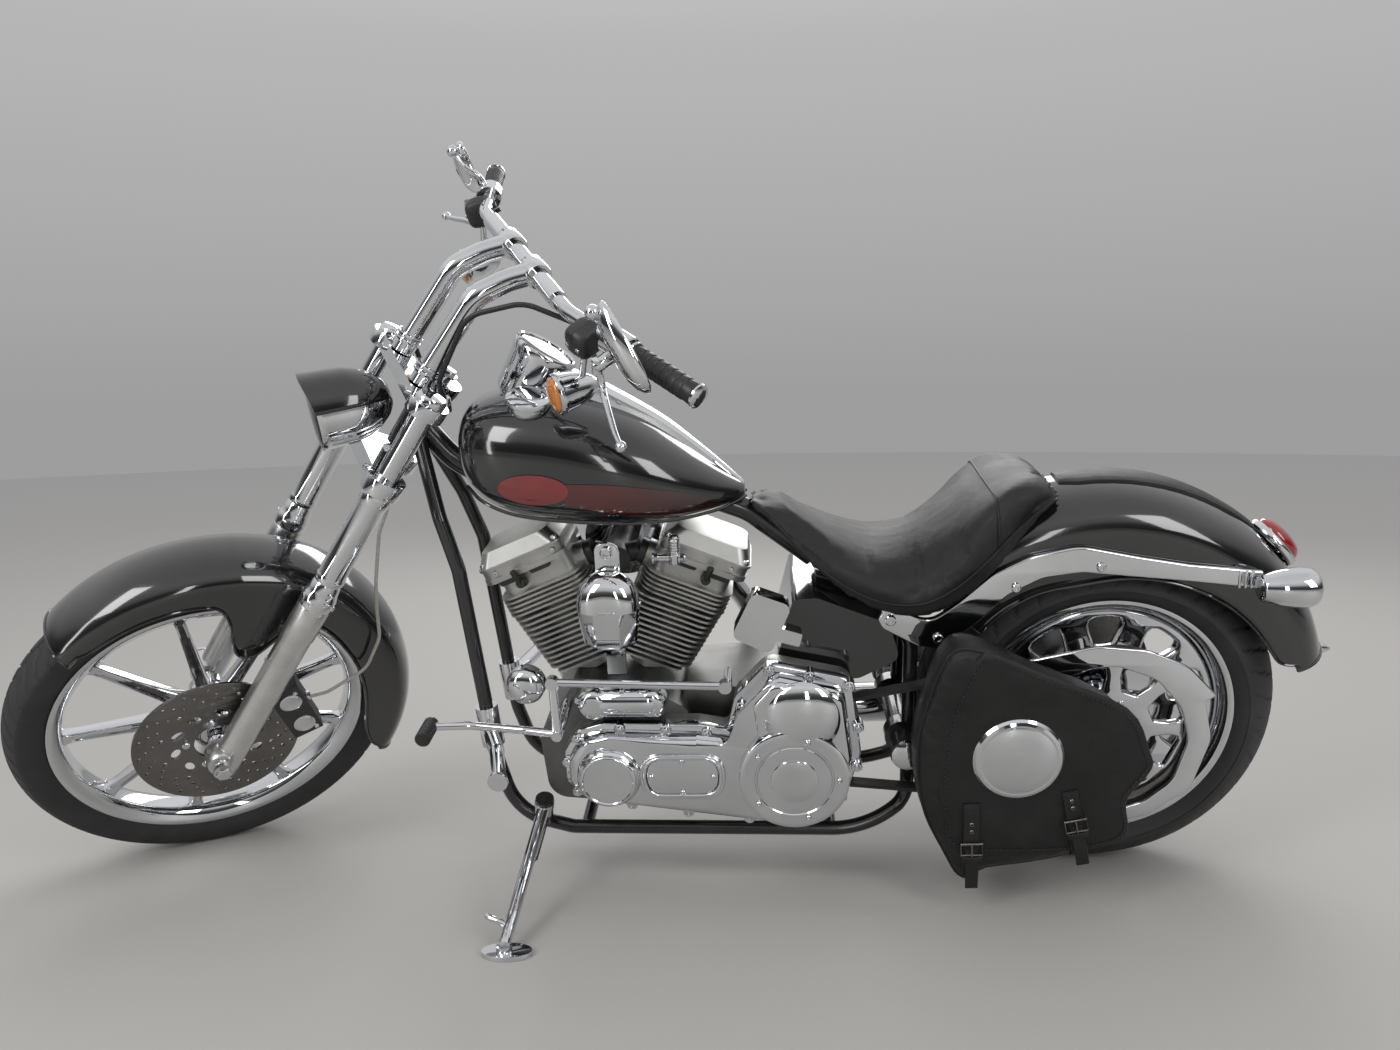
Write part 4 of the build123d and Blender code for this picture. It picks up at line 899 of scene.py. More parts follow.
seat = lofted([seat_ring(*station) for station in SEAT])
seat = solid("seat_cushion", *seat, "chassis", "black_leather", crisp=0)
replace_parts(swell(seat, 9, 4, (0, 0, -1)), "seat")

# Saddlebag: a soft body with a stiffer front flap, two buckled straps and a round plain medallion

BAG_BODY = [(540, 545), (600, 546), (690, 500), (822, 436), (862, 350), (836, 270), (834, 196), (745, 142),
            (620, 118), (572, 100), (540, 150), (497, 250), (487, 366), (505, 460)]
BAG_FLAP = [(592, 543), (640, 530), (689, 507), (829, 443), (872, 362), (878, 330), (852, 288), (842, 262),
            (842, 192), (727, 166), (566, 172), (540, 225), (528, 294), (530, 360), (541, 432), (562, 492)]


def bag_ring(outline, y, inset, steps=4):
    """Smooth ring of a side-view outline at depth y, drawn in towards its middle by inset."""
    centre = sum((Vector(point) for point in outline), Vector((0, 0))) / len(outline)
    ring = []
    for point in smooth_loop(outline, steps):
        away = point - centre
        point = centre + away * (1 - inset / away.length)
        ring.append(Vector((point.x, y, point.y)))
    return ring


body = skin([bag_ring(BAG_BODY, y, inset) for y, inset in
             ((-178, 34), (-177, 16), (-180, 5), (-190, 0), (-215, -2), (-240, 0), (-252, 5), (-258, 14),
              (-260, 40), (-261, 90))])
body = solid("bag_body", *body, "chassis", "black_leather", crisp=0)
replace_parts(swell(body, 5, 1.5, RIGHT), "saddlebag")
flap = skin([bag_ring(BAG_FLAP, y, inset) for y, inset in
             ((-257, 30), (-256, 1.2), (-257, 0), (-261, 0), (-262.5, 1.5), (-264, 12), (-266, 40),
              (-267, 90))])
flap = solid("bag_flap", *flap, "chassis", "black_leather", crisp=0)
medallion = [(0, 0.01), (0, 75), (-3, 75), (-7, 71), (-9, 66), (-8.5, 62), (-10, 58), (-13, 45), (-14.5, 22),
             (-15, 0.01)]
solid("bag_medallion", *lathe(medallion, (657, -264, 353), RIGHT, 72), "chassis", "chrome", crisp=18)

# Rounded edges on the carried-over parts that keep their CAD shape

SOFT_EDGES = {
    "crankcase": 5, "primary_case": 3, "transmission": 6, "oil_tank": 7, "coil_cover": 7,
    "front_caliper": 6, "rear_caliper": 6, "cam_cover": 6, "triple_trees": 2.5,
    "front_pulley": 2, "side_stand": 1.5, "swingarm": 1.2, "rocker_boxes": 2.5,
    "front_axle": 1.5, "rear_axle": 1.5, "intake": 1.5, "foot_controls": 2,
}
for label, width in SOFT_EDGES.items():
    weld = nodes[label].modifiers.new("weld", "WELD")
    weld.merge_threshold = 0.02 * MM
    ease = nodes[label].modifiers.new("edges", "BEVEL")
    ease.width = width * MM
    ease.segments = 3
    ease.limit_method = "ANGLE"
    ease.angle_limit = radians(32)
    ease.harden_normals = True

# Fork: lower legs with a bolted collar, sleeves above them, nuts on the axle and bolts in the yokes

FORK_Y = 125
legs, sleeves, bolts = [], [], []
for side in SIDES:
    base, end = on_fork(0, side * FORK_Y), sideways(26)
    legs.append(lathe([(-38, 0.01), (-38, 17), (-34, 22), (-26, 26), (10, 27), (60, 27.5), (300, 27.5),
                       (306, 29.5), (372, 29.5), (376, 28), (376, 0.01)], base, ALONG, 48))
    axle = FRONT_HUB + sideways(side * FORK_Y)
    legs.append(ball_end(axle - end, axle + end, 27))
    sleeves.append(lathe([(376, 27), (376, 30.3), (382, 31), (398, 31), (402, 29), (412, 27), (424, 25),
                          (430, 22)], base, ALONG, 48, loop=True))
    sleeves.append(lathe([(429, 21), (431, 26), (437, 27), (444, 26), (448, 24.6), (600, 24.6), (606, 27),
                          (622, 27), (626, 25.5), (626, 21)], base, ALONG, 48, loop=True))
    sleeves.append(disc(on_fork(812, side * FORK_Y), ALONG, [(0, 26), (8, 26), (13, 22), (15, 12)], 48))
    for turn in (50, 130):
        turn = radians(turn)
        out = sideways(side) * sin(turn) - BACK * cos(turn)
        bolts.append(bolt(on_fork(389, side * FORK_Y) + out * 29.5, out, 5, 5))
    bolts.append(hexagon(FRONT_HUB + sideways(side * 163), (0, side, 0), 14, 12))
    for level, deep in ((642, 20), (800, 23)):
        bolts.append(bolt(on_fork(level, side * 80) - BACK * deep, -BACK, 6, 6))
assemble("fork_sliders", legs, "steering", "satin_alloy", node="fork_legs")
assemble("fork_sleeves", sleeves, "steering")
bolts.append(hexagon(on_fork(824, 0, 75), ALONG, 19, 12))
assemble("fork_bolts", bolts, "steering", crisp=30)

# Headlamp: chrome bowl, black hood with a pointed visor, clear lens over a bright reflector

LAMP = Vector((-545, 0, 952))
bowl = [(0, 62), (0, 65.5), (3, 67.5), (9, 68), (12, 66.5), (58, 65.5), (84, 59), (106, 46), (122, 32),
        (132, 17), (135, 0.01)]
parts = [lathe(bowl, LAMP, (1, 0, 0), 72)]
for turn in (-14, -24, -34, -146, -156, -166):
    turn = radians(turn)
    out = Vector((0, cos(turn), sin(turn)))
    parts.append(bent_tube([LAMP + Vector((x, 0, 0)) + out * r for x, r in
                            ((16, 66.5), (40, 66.2), (60, 65.6), (84, 59.4), (104, 47.8))], 1.6, 8))
assemble("headlamp_bowl", parts, "steering", crisp=50, node="headlamp")
rows = []
for share in range(0, 25):
    turn = radians(26 + 128 * share / 24)
    out = Vector((0, cos(turn), sin(turn)))
    peak = max(0.0, sin(turn)) ** 3
    row = [LAMP + Vector((x, 0, 0)) + out * r for x, r in
           ((-1 - 12 * peak, 70 + 2 * peak), (5, 70.4), (30, 69.4), (58, 68), (84, 61.4), (106, 48.4),
            (121, 35), (128, 26))]
    rows.append([row[0] - out * 2.2] + row + [row[-1] - out * 2.2])
thickened(solid("headlamp_hood", *open_sheet(rows), "steering", "gloss_black", crisp=50), 1.6, 0)
reflector = lathe([(2, 62), (14, 54), (34, 34), (46, 10), (47, 0.01)], LAMP, (1, 0, 0), 48)
solid("headlamp_reflector", *reflector, "steering", "chrome", crisp=0)
lens = lathe([(3, 62.5), (0, 62), (-3, 50), (-5, 30), (-5.6, 0.01)], LAMP, (1, 0, 0), 48)
solid("headlamp_lens", *lens, "steering", "chrome", look="lens_clear", crisp=0)

# Bar ends, levers, mirrors and front signals

GRIP_START = Vector((-102, 350, 1148))
GRIP_DIR = (Vector((-55, 469, 1133)) - GRIP_START).normalized()


def on_bar(back, side):
    """Point of the bar's end at a distance back from where the grip starts."""
    return mirrored(GRIP_START - GRIP_DIR * back, side)


def mirror_ring(axes, high, long, wide):
    """Ring of a mirror's outline about its middle, fuller at its free end."""
    centre, down, over, face = axes
    return [centre + down * (long * cos(turn)) + over * (wide * (1 + 0.16 * cos(turn)) * sin(turn))
            + face * high for turn in turns(48)]


grip_parts, rings, levers, shells, glasses, bodies, lenses, balls = [], [], [], [], [], [], [], []
for side in SIDES:
    start, along = mirrored(GRIP_START, side), mirrored(GRIP_DIR, side)
    form = [(0, 13), (0, 17)]
    for rib in range(7):
        form += [(8 + rib * 15, 18), (17 + rib * 15, 18), (18.5 + rib * 15, 16.6), (20.5 + rib * 15, 16.6)]
    form += [(124, 18), (127, 17), (127, 13)]
    grip_parts.append(lathe(form, start, along, 40))
    rings.append(lathe([(-5, 13), (-5, 19.5), (-3.5, 21), (-1.5, 21), (0, 19.5), (0, 13)], start, along, 40,
                       loop=True))
    rings.append(disc(start + along * 127, along, [(0, 17), (1.5, 19.5), (5, 19.5), (8, 16), (9.5, 9)], 40))
    clamp = on_bar(62, side)
    levers.append(lathe([(4, 13), (4, 22), (6, 24), (50, 24), (52, 22), (52, 13)], clamp, along, 40,
                        loop=True))
    pivot = clamp + Vector((-44, 0, -20)) + along * 38
    levers.append(ball_end(clamp + Vector((-18, 0, -8)) + along * 38, pivot + Vector((-6, 0, -3)), 11))
    levers.append(disc(pivot + Vector((0, 0, 12)), (0, 0, -1), [(0, 9), (24, 9)], 24))
    lever = smooth_line([pivot] + [mirrored(point, side) for point in (
        (-150, 335, 1098), (-157, 362, 1091), (-164, 400, 1080), (-169, 430, 1072), (-171, 452, 1067))])
    levers.append(bent_tube(lever, [6.5 - 2.2 * i / (len(lever) - 1) for i in range(len(lever))], 14))
    balls.append(ball(9, mirrored((-171, 455, 1066), side), along))
    centre = mirrored((-139, 386, 1185), side)
    down = Vector((0.28, 0.54 * side, -0.79)).normalized()
    face = Vector((0.94, 0, 0.33))
    face = (face - down * face.dot(down)).normalized()
    axes = (centre, down, face.cross(down), face)
    shells.append(skin([mirror_ring(axes, *station) for station in
                        ((-17, 10, 6), (-16.5, 28, 14), (-14, 45, 23), (-8, 62, 30.5), (0, 72, 35),
                         (6, 75, 36.5), (9, 74.5, 36), (10, 72.5, 34.5), (8.5, 71, 33.4), (7, 70.5, 33))],
                       caps=False))
    glasses.append(skin([mirror_ring(axes, *station) for station in
                         ((7.4, 71, 33.4), (7.6, 40, 19), (7.6, 1, 1))], caps=False))
    joint = centre - down * 66 - face * 12
    shells.append(ball(12, joint, down))
    base = start - along * 34 + Vector((-6, 0, 16))
    stem = [base, base + Vector((-12, 0, 24)), (base + joint) / 2 + Vector((-10, 0, 8)), joint]
    shells.append(bent_tube(smooth_line(stem), 5, 14))
    lens = mirrored((-198, 252, 1046), side)
    rearwards = Vector((12, 0, 1)).normalized()
    bodies.append(lathe([(-1, 29), (-1, 33), (2, 34.5), (8, 34.5), (11, 32.6), (30, 29.5), (50, 24),
                         (62, 17.5), (71, 10), (75, 4), (76, 0.01)], lens, rearwards, 48))
    lenses.append(lathe([(1, 30), (-4, 28.5), (-8, 22), (-11, 12), (-12, 0.01)], lens, rearwards, 48))
    bodies.append(bent_tube([lens + Vector((44, 0, 8)), on_bar(92, side) - Vector((12, 0, 24))], 6, 16))
assemble("grip_sleeves", grip_parts, "steering", "grip_rubber", crisp=35, node="grips")
assemble("grip_rings", rings, "steering", crisp=35)
assemble("hand_levers", levers + balls, "steering", node="hand_controls")
assemble("mirror_shells", shells, "steering", crisp=60, node="mirrors")
assemble("mirror_glass", glasses, "steering", look="mirror_glass", crisp=0)
assemble("front_signal_bodies", bodies, "steering", crisp=50, node="front_signals")
assemble("front_signal_lenses", lenses, "steering", "lamp_red", "lens_amber", 0)
clamps = []
for side in SIDES:
    for level in (836, 846):
        clamps.append(lathe([(-3, 20), (-3, 22.5), (-2, 23.5), (2, 23.5), (3, 22.5), (3, 20)],
                            on_fork(level, side * 60), ALONG, 40, loop=True))
    clamps.append(lathe([(-22, 16), (-22, 21.5), (-20, 23), (20, 23), (22, 21.5), (22, 16)],
                        (-156.3, side * 60, 1166.1), RIGHT, 40, loop=True))
assemble("riser_clamps", clamps, "steering")

# Primary cover: a sculpted chrome casting with a round cover, a crank boss and an oval plate

PRIMARY = [(-124, 317), (-99, 361), (-54, 375), (121, 371), (173, 361), (188, 429), (244, 490), (388, 458),
           (407, 312), (383, 231), (295, 164), (116, 188), (-64, 216), (-99, 228), (-124, 259)]
PRIMARY_ROUND = [22, 22, 30, 30, 12, 24, 30, 30, 40, 40, 60, 60, 30, 22, 22]
outline = rounded(PRIMARY, PRIMARY_ROUND, 8)
parts = [casting(outline, -160, -176, 4, 0.4)]
waist = rounded([(-116, 312), (-94, 352), (-52, 364), (118, 360), (186, 352), (206, 424), (252, 474),
                 (376, 446), (392, 312), (370, 238), (290, 176), (116, 198), (-62, 226), (-94, 236),
                 (-116, 262)],
                [22, 24, 34, 50, 30, 24, 30, 30, 40, 40, 60, 60, 30, 22, 22], 8)
parts.append(casting(waist, -174, -203, 22, 0.9, 8))
corner = rounded([(214, 426), (252, 468), (372, 442), (390, 312), (360, 236), (300, 200), (230, 300)],
                 [20, 26, 28, 40, 40, 50, 60], 8)
parts.append(casting(corner, -190, -207, 12, 0.9, 6))
dome = [(0, 70), (-3, 69), (-9, 63), (-15, 52), (-20, 36), (-23, 18), (-23.5, 0.01)]
parts.append(lathe(dome, (302, -200, 396), RIGHT, 56))
boss = [(0, 58), (-8, 57), (-13, 53), (-15, 50.5), (-20, 50), (-22, 48), (-22.4, 45), (-20.6, 43.5),
        (-20.6, 0.01)]
parts.append(lathe(boss, (-41, -201, 284), RIGHT, 64))
round_cover = [(0, 97), (-14, 97), (-18, 96), (-20, 93), (-20.5, 88), (-20, 84), (-20, 70), (-18.4, 68.5),
               (-18.4, 66), (-20.5, 64.5), (-21.4, 50), (-21.6, 42), (-24.5, 41), (-25.6, 38.5), (-26.2, 20),
               (-26.4, 0.01)]
COVER_X, COVER_Z = 287, 284
parts.append(lathe(round_cover, (COVER_X, -200, COVER_Z), RIGHT, 96))
oval = rounded([(17, 244), (163, 244), (163, 326), (17, 326)], 40, 10)
middle = Vector((90, 285))
for grow, y in ((1.0, -206.5), (0.93, -208)):
    line = [Vector((middle.x + (p.x - middle.x) * grow, y, middle.y + (p.y - middle.y) * grow))
            for p in oval + oval[:2]]
    parts.append(bent_tube(line, 3.4, 12))
plate_line = [middle + (p - middle) * 0.88 for p in oval]
parts.append(casting(plate_line, -195, -207.5, 3, 0.3))
assemble("primary_shell", parts, crisp=42, node="primary_cover")
screws = []
for x, z in ((90, 316), (90, 254), (35, 285), (145, 285)):
    screws.append(bolt((x, -207, z), LEFT, 5, 4))
for index in range(5):
    turn = 2 * pi * (index / 5 + 0.2)
    screws.append(bolt((COVER_X + 78 * cos(turn), -220, COVER_Z + 78 * sin(turn)), LEFT, 5, 4))
for x, z in ((-98, 346), (-20, 366), (62, 364), (134, 357), (196, 408), (246, 478), (316, 466), (384, 446),
             (400, 366), (398, 288), (372, 226), (206, 182), (96, 196), (-6, 212), (-104, 240), (-118, 300)):
    screws.append(disc((x, -160, z), LEFT, [(0, 10), (22, 10), (24, 8.5)], 24))
    screws.append(bolt((x, -183, z), LEFT, 5.5, 5))
assemble("primary_screws", screws, crisp=30)

# Horn cover: a domed upper half, three flat facets below it, a bolted tab above and a stay behind

HORN_X = -28
horn, rings = [], []
for y, half, high in ((-150, 53, 1.0), (-160, 54, 1.0), (-172, 53, 0.98), (-184, 49, 0.93), (-192, 42, 0.86),
                      (-197, 32, 0.78), (-199, 20, 0.70), (-199.5, 8, 0.62)):
    ring = []
    for i in range(33):
        turn = pi * i / 32
        ring.append(Vector((HORN_X + half * cos(turn), y, 600 + 58 * high * sin(turn) ** 0.9 * half / 53)))
    rings.append(ring + [Vector((HORN_X - half, y, 594)), Vector((HORN_X + half, y, 594))])
horn.append(skin(rings))
skirt = []
for z, half, deep in ((598, 52, -197), (594, 53, -198), (560, 50, -194), (528, 46, -188), (523, 44, -184)):
    skirt.append([Vector((HORN_X + x, y, z)) for x, y in
                  ((-half, -152), (-half, deep + 26), (-half + 3, deep + 22), (-half * 0.5, deep + 3),
                   (-half * 0.42, deep), (half * 0.42, deep), (half * 0.5, deep + 3), (half - 3, deep + 22),
                   (half, deep + 26), (half, -152))])
solid("horn_skirt", *skin(skirt), "chassis", "chrome", crisp=10)
horn.append(bent_tube([Vector((HORN_X + 54.5 * cos(t), -152 - 46.5 * sin(t) ** 0.8, 597))
                       for t in [pi * i / 24 for i in range(25)]], 2.4, 10))
tab = rounded([(-48, 630), (-6, 630), (-6, 706), (-48, 706)], [2, 2, 18, 18])
horn.append(casting(tab, -144, -151, 1.5, 0.5))
horn.append(bent_tube([Vector((p.x, -151, p.y)) for p in tab[7:-7]], 2, 8))
assemble("horn_shell", horn, crisp=38, node="horn_cover")
stay = [casting(rounded([(-50, 426), (-14, 426), (-14, 592), (-50, 592)], [2, 2, 8, 8]), -80, -86, 1),
        ball_end((-32, -84, 572), (-32, -152, 572), 12),
        disc((-27, -144, 690), RIGHT, [(0, 11), (6, 11)]),
        disc((-27, -150, 690), LEFT, [(0, 13), (2, 13)]),
        bolt((-27, -152, 690), LEFT, 10, 8)]
assemble("horn_stay", stay, crisp=35)

# Engine: screws on the rocker boxes, heads, cam cover and air cleaner, and the plugs' caps

CRANK = Vector((-30, 0, 283))
VEE = radians(22.5)


def vee(side):
    """Directions up the front (side = -1) or rear (1) cylinder, and across it."""
    up = Vector((side * sin(VEE), 0, cos(VEE)))
    return up, Vector((side * up.z, 0, -abs(up.x)))


screws, dark = [], []
for side in SIDES:
    up, out = vee(side)
    for away in (-58, 15, 86):
        for y in (-60, 60):
            screws.append(bolt(CRANK + up * 409 + out * away + sideways(y), up, 5.5, 9))
    for away in (-50, 66):
        for face in SIDES:
            screws.append(bolt(CRANK + up * 396 + out * away + sideways(face * 69), (0, face, 0), 5, 6))
    for face in SIDES:
        plug = CRANK + up * 358 + out * 30 + sideways(face * 58)
        dark.append(ball_end(plug, plug + sideways(face * 26) + up * 6, 9))
        dark.append(ball_end(plug + sideways(face * 20) + up * 4,
                             plug + sideways(face * 30) + up * 34, 6))
for x, z in ((-124, 330), (-60, 378), (40, 352), (76, 268), (22, 222), (-128, 240)):
    screws.append(bolt((x, 112, z), RIGHT, 6, 6))
assemble("engine_screws", screws, crisp=30)
assemble("plug_caps", dark, slot="grip_rubber", crisp=35)
cleaner = [lathe([(0, 60), (0, 76), (6, 78), (34, 78), (38, 75), (42, 72), (48, 70), (52, 66), (54, 58),
                  (54, 30), (52, 24), (52, 0.01)], (-30, 108, 625), RIGHT, 72)]
for turn in (0.5, 2.6, 4.7):
    spot = (-30 + 40 * cos(turn), 161, 625 + 40 * sin(turn))
    cleaner.append(bolt(spot, RIGHT, 5, 4))
assemble("air_cleaner_shell", cleaner, node="air_cleaner")

# Rear struts with their bolts, rear signals, tail lamp, the fender's leather strip and the pivot caps

STRUT = [(436, 548), (448, 568), (470, 568), (525, 542), (574, 579), (629, 630), (693, 661), (773, 677),
         (872, 656), (955, 641), (1078, 627), (1078, 596), (958, 611), (777, 630), (712, 620), (657, 590),
         (610, 542), (545, 489), (510, 495), (446, 530)]
STRUT_ROUND = [8, 14, 14, 40, 60, 60, 60, 90, 60, 40, 3, 3, 40, 90, 60, 60, 60, 30, 30, 10]
strut = rounded(STRUT, STRUT_ROUND, 6)
parts = []
for side in SIDES:
    mesh = slab_mesh("strut", [strut], 11.7, 3.6, 3)
    stand_up(mesh, side * 124.2)
    parts.append(skin_of(mesh))
    parts.append(ball_end((494, side * 94, 520), (494, side * 120, 520), 9))
    for x in (1040, 1050, 1060):
        parts.append(ball_end((x, side * 129, 598), (x, side * 129, 629), 3))
    for x, z, r in ((669, 605, 8), (809, 640, 8), (458, 548, 10), (541, 512, 9)):
        parts.append(bolt((x, side * 129.5, z), (0, side, 0), r, 6))
assemble("rear_struts", parts, node="fender_struts")
bodies, lenses = [], []
for side in SIDES:
    spot = Vector((1060, side * 160, 610))
    bodies.append(lathe([(0, 0.01), (0, 19), (3, 22), (30, 30), (50, 33.5), (62, 34.5), (76, 34), (84, 31.5),
                         (88, 28), (87, 25.5), (84, 25), (84, 0.01)], spot, (1, 0, 0), 48))
    bodies.append(ball_end((1085, side * 127, 612), (1085, side * 148, 612), 10))
    lenses.append(lathe([(83, 25), (87, 24.5), (91, 18), (93, 9), (93.5, 0.01)], spot, (1, 0, 0), 48))
assemble("rear_signal_bodies", bodies, crisp=50, node="rear_signals")
assemble("rear_signal_lenses", lenses, slot="lamp_red", look="lens_amber", crisp=0)
LAMP_TURN = radians(42)
LAMP_BEND_R = 430
lamp_up = outward(LAMP_TURN)
lamp_along = Vector((sin(LAMP_TURN), 0, -cos(LAMP_TURN)))
lamp_spot = REAR_FENDER_HUB + lamp_up * REAR_FENDER_R


def lamp_ring(high, long, wide):
    """Oval ring of the tail lamp at a height over the fender."""
    ring = []
    for turn in turns(48):
        along = long * cos(turn)
        sag = -(along**2) / (2 * LAMP_BEND_R)
        ring.append(lamp_spot + lamp_up * (high + sag * max(0.0, 1 - high / 20)) + lamp_along * along
                    + sideways(wide * sin(turn)))
    return ring


base = skin([lamp_ring(*station) for station in
             ((0, 50, 42), (3, 53, 45), (9, 54, 46), (13, 52, 44), (15, 49, 41), (12, 47, 39))], caps=False)
assemble("tail_lamp_base", [base], crisp=50, node="tail_lamp")
dome = skin([lamp_ring(*station) for station in
             ((12, 47.5, 39.5), (20, 46, 38), (27, 40, 33), (32, 30, 24), (34.5, 16, 13), (35, 1, 1))])
solid("tail_lamp_lens", *dome, "chassis", "lamp_red", crisp=0)
STRIP_R = 420
strip = []
for degrees in range(50, 102, 2):
    out = outward(radians(degrees))
    half = 22 + 18 * min(1.0, (degrees - 48) / 10, (104 - degrees) / 8)
    ring = [(-half, -8), (-half + 2, 1.5), (-half * 0.7, 5), (0, 7), (half * 0.7, 5), (half - 2, 1.5),
            (half, -8)]
    strip.append([REAR_FENDER_HUB + out * (STRIP_R + high) + sideways(y) for y, high in ring])
solid("fender_strip", *skin(strip), "chassis", "black_leather", crisp=40)
caps = []
for side in SIDES:
    caps.append(lathe([(0, 26), (4, 29), (9, 27), (13, 20), (15, 9), (15.4, 0.01)],
                      (488, side * 159, 300), (0, side, 0), 40))
    caps.append(hexagon((850, side * 174, 326), (0, side, 0), 15, 11))
caps.append(bolt((680, -138, 436), LEFT, 9, 6))
assemble("pivot_caps", caps, crisp=35)

# Straps with buckles on the bag, stitching along its flap and piping along its body


def band(points, across, half, thick):
    """Flat strap along points: across is its width's direction, thick its thickness."""
    across = Vector(across).normalized()
    rings = []
    for i, point in enumerate(points):
        off = heading(points, i).cross(across).normalized() * thick / 2
        corner = across * (half - thick * 0.4)
        rings.append([point + corner - off, point + across * half, point + corner + off,
                      point - corner + off, point - across * half, point - corner - off])
    return skin(rings)


straps, buckles = [], []
for x_top, z_top, x_low, z_low, share in ((584, 268, 588, 128, 0.62), (745, 292, 770, 176, 0.55)):
    lean = Vector((x_low - x_top, 0, z_low - z_top)).normalized()
    across = Vector((-lean.z, 0, lean.x))
    top, low = Vector((x_top, -269, z_top)), Vector((x_low, -266, z_low))
    line = [top + sideways(2), top + lean * 20 - sideways(1), (top + low) / 2 - sideways(3),
            low, low + lean * 16 + sideways(12), low + lean * 20 + sideways(40)]
    straps.append(band(smooth_line(line, 5), across, 14, 3.6))
    spot = top + (low - top) * share - sideways(4)
    tail = [spot, spot + lean * 22 - sideways(3), spot + lean * 52 - sideways(7),
            spot + lean * 76 - sideways(5)]
    straps.append(band(smooth_line(tail, 5), across, 11, 3))
    bow = [spot + across * a + lean * b - sideways(3) for a, b in
           ((-18, -11), (18, -11), (18, 11), (-18, 11), (-18, -11), (18, -11))]
    buckles.append(bent_tube(bow, 2.2, 10))
    buckles.append(bent_tube([spot - lean * 11 - sideways(4), spot + lean * 12 - sideways(6)],
                             1.7, 8))
    straps.append(band([spot + lean * 18 + across * a - Vector((0, 5 + 3 * (1 - (a / 17) ** 2), 0))
                        for a in (-17, -12, 0, 12, 17)], lean, 5, 2.6))
    for b in (-34, -48):
        buckles.append(bolt(spot + lean * b + sideways(1), LEFT, 4, 3))
assemble("bag_straps", straps, slot="black_leather", crisp=50)
assemble("bag_buckles", buckles, slot="disc_steel")


def stitches(line, gap, long, radius, lift):
    """Row of short stitches along a line of points."""
    parts = []
    walked = 0.0
    due = 0.0
    for start, end in zip(line, line[1:]):
        length = (end - start).length
        along = (end - start).normalized()
        while due < walked + length:
            spot = start + (end - start) * ((due - walked) / length)
            ends = [spot - along * long / 2 - lift * 0.4, spot + lift, spot + along * long / 2 - lift * 0.4]
            parts.append(bent_tube(ends, radius, 6))
            due += gap
        walked += length
    return parts


seam = bag_ring(BAG_FLAP, -264.5, 10, 5)
stitching = stitches(seam + seam[:1], 9, 6, 0.8, sideways(-0.7))
assemble("bag_stitching", stitching, slot="grip_rubber", crisp=0)
bag_tree = tree_of(body, "chassis")
piping = [bag_tree.find_nearest(point)[0] for point in bag_ring(BAG_BODY, -248, 0, 5)]
solid("bag_piping", *bent_tube(piping + piping[:2], 3, 8), "chassis", "black_leather", crisp=0)

# Tank paint: a red oval and a stripe that fades rearwards on each side


def onto(tree, x, z, side, lift):
    """Point of a skin seen at (x, z) from one side, lifted off it a little."""
    spot = tree.ray_cast(Vector((x, side * 400, z)), sideways(-side))[0]
    return spot + sideways(side) * lift


tank_tree = tree_of(tank, "chassis")
STRIPE_TOP = smooth_line([(-92, 812), (-5, 806), (96, 784), (150, 764), (184, 750)])
STRIPE_LOW = smooth_line([(-92, 772), (-8, 752), (94, 741), (150, 740), (184, 746)])
for side, name in ((-1, "left"), (1, "right")):
    rows = []
    for top, low in zip(STRIPE_TOP, STRIPE_LOW):
        spots = [low + (top - low) * step / 6 for step in range(7)]
        rows.append([onto(tank_tree, spot.x, spot.y, side, 0.9) for spot in spots])
    solid("tank_stripe_" + name, *open_sheet(rows), "chassis", "gloss_black", look="stripe_red", crisp=0)
    points, faces = [], []
    for index, turn in enumerate(turns(64)):
        for scale in (1.0, 0.8, 0.6, 0.4, 0.2, 0.01):
            x = -144 + scale * (61 * cos(turn) + 4 * sin(turn))
            z = 801 + scale * (28 * sin(turn) - 3 * cos(turn))
            points.append(onto(tank_tree, x, z, side, 1.6))
        for row in range(5):
            a, b = index * 6 + row, (index + 1) % 64 * 6 + row
            faces.append((a, b, b + 1, a + 1))
    solid("tank_oval_" + name, points, faces, "chassis", "gloss_black", look="oval_red", crisp=0)

# Stand spring and tab, peg rubber, hose and cable fittings, silencer ends, caliper pots

ANKLE = Vector((-193.8, -438.4, 116.5))
PIVOT = Vector((-175, -152, 190))
COIL_TURNS = 15
COIL_STEPS = 14
leg = (ANKLE - PIVOT).normalized()
aside = Vector((1, 0, 0))
aside = (aside - leg * aside.dot(leg)).normalized()
third = leg.cross(aside)
coil = []
for step in range(COIL_TURNS * COIL_STEPS + 1):
    turn = 2 * pi * step / COIL_STEPS
    coil.append(PIVOT - third * 24 + leg * (8 + 92 * step / (COIL_TURNS * COIL_STEPS))
                + (aside * cos(turn) + third * sin(turn)) * 6.5)
parts = [bent_tube(coil, 1.5, 6), bent_tube([coil[0], PIVOT - third * 17 - leg * 4], 1.6, 8),
         bent_tube([coil[-1], PIVOT - third * 22 + leg * 116, PIVOT + leg * 122], 1.6, 8)]
assemble("stand_spring", parts, "side_stand", "black_cast", crisp=0)
tab = ball_end(ANKLE - leg * 36, ANKLE - leg * 50 - aside * 44 + third * 6, 5.5)
solid("stand_tab", *tab, "side_stand", "chrome", crisp=40)
ribs = [(-343 + i * 6 + j, 13 if j in (1, 4) else 11.4) for i in range(9) for j in (0, 1, 4, 5)]
rubber = lathe([(-345, 0.01), (-345, 11)] + ribs + [(-288, 11), (-288, 0.01)], (-318, 0, 442), RIGHT, 32)
solid("shift_peg_rubber", *rubber, "chassis", "grip_rubber", crisp=35)
fittings = [ball_end((-676, -96, 395), (-676, -80, 395), 7),
            hexagon((-452, -88, 812), (0.46, -0.1, 0.88), 5, 12)]
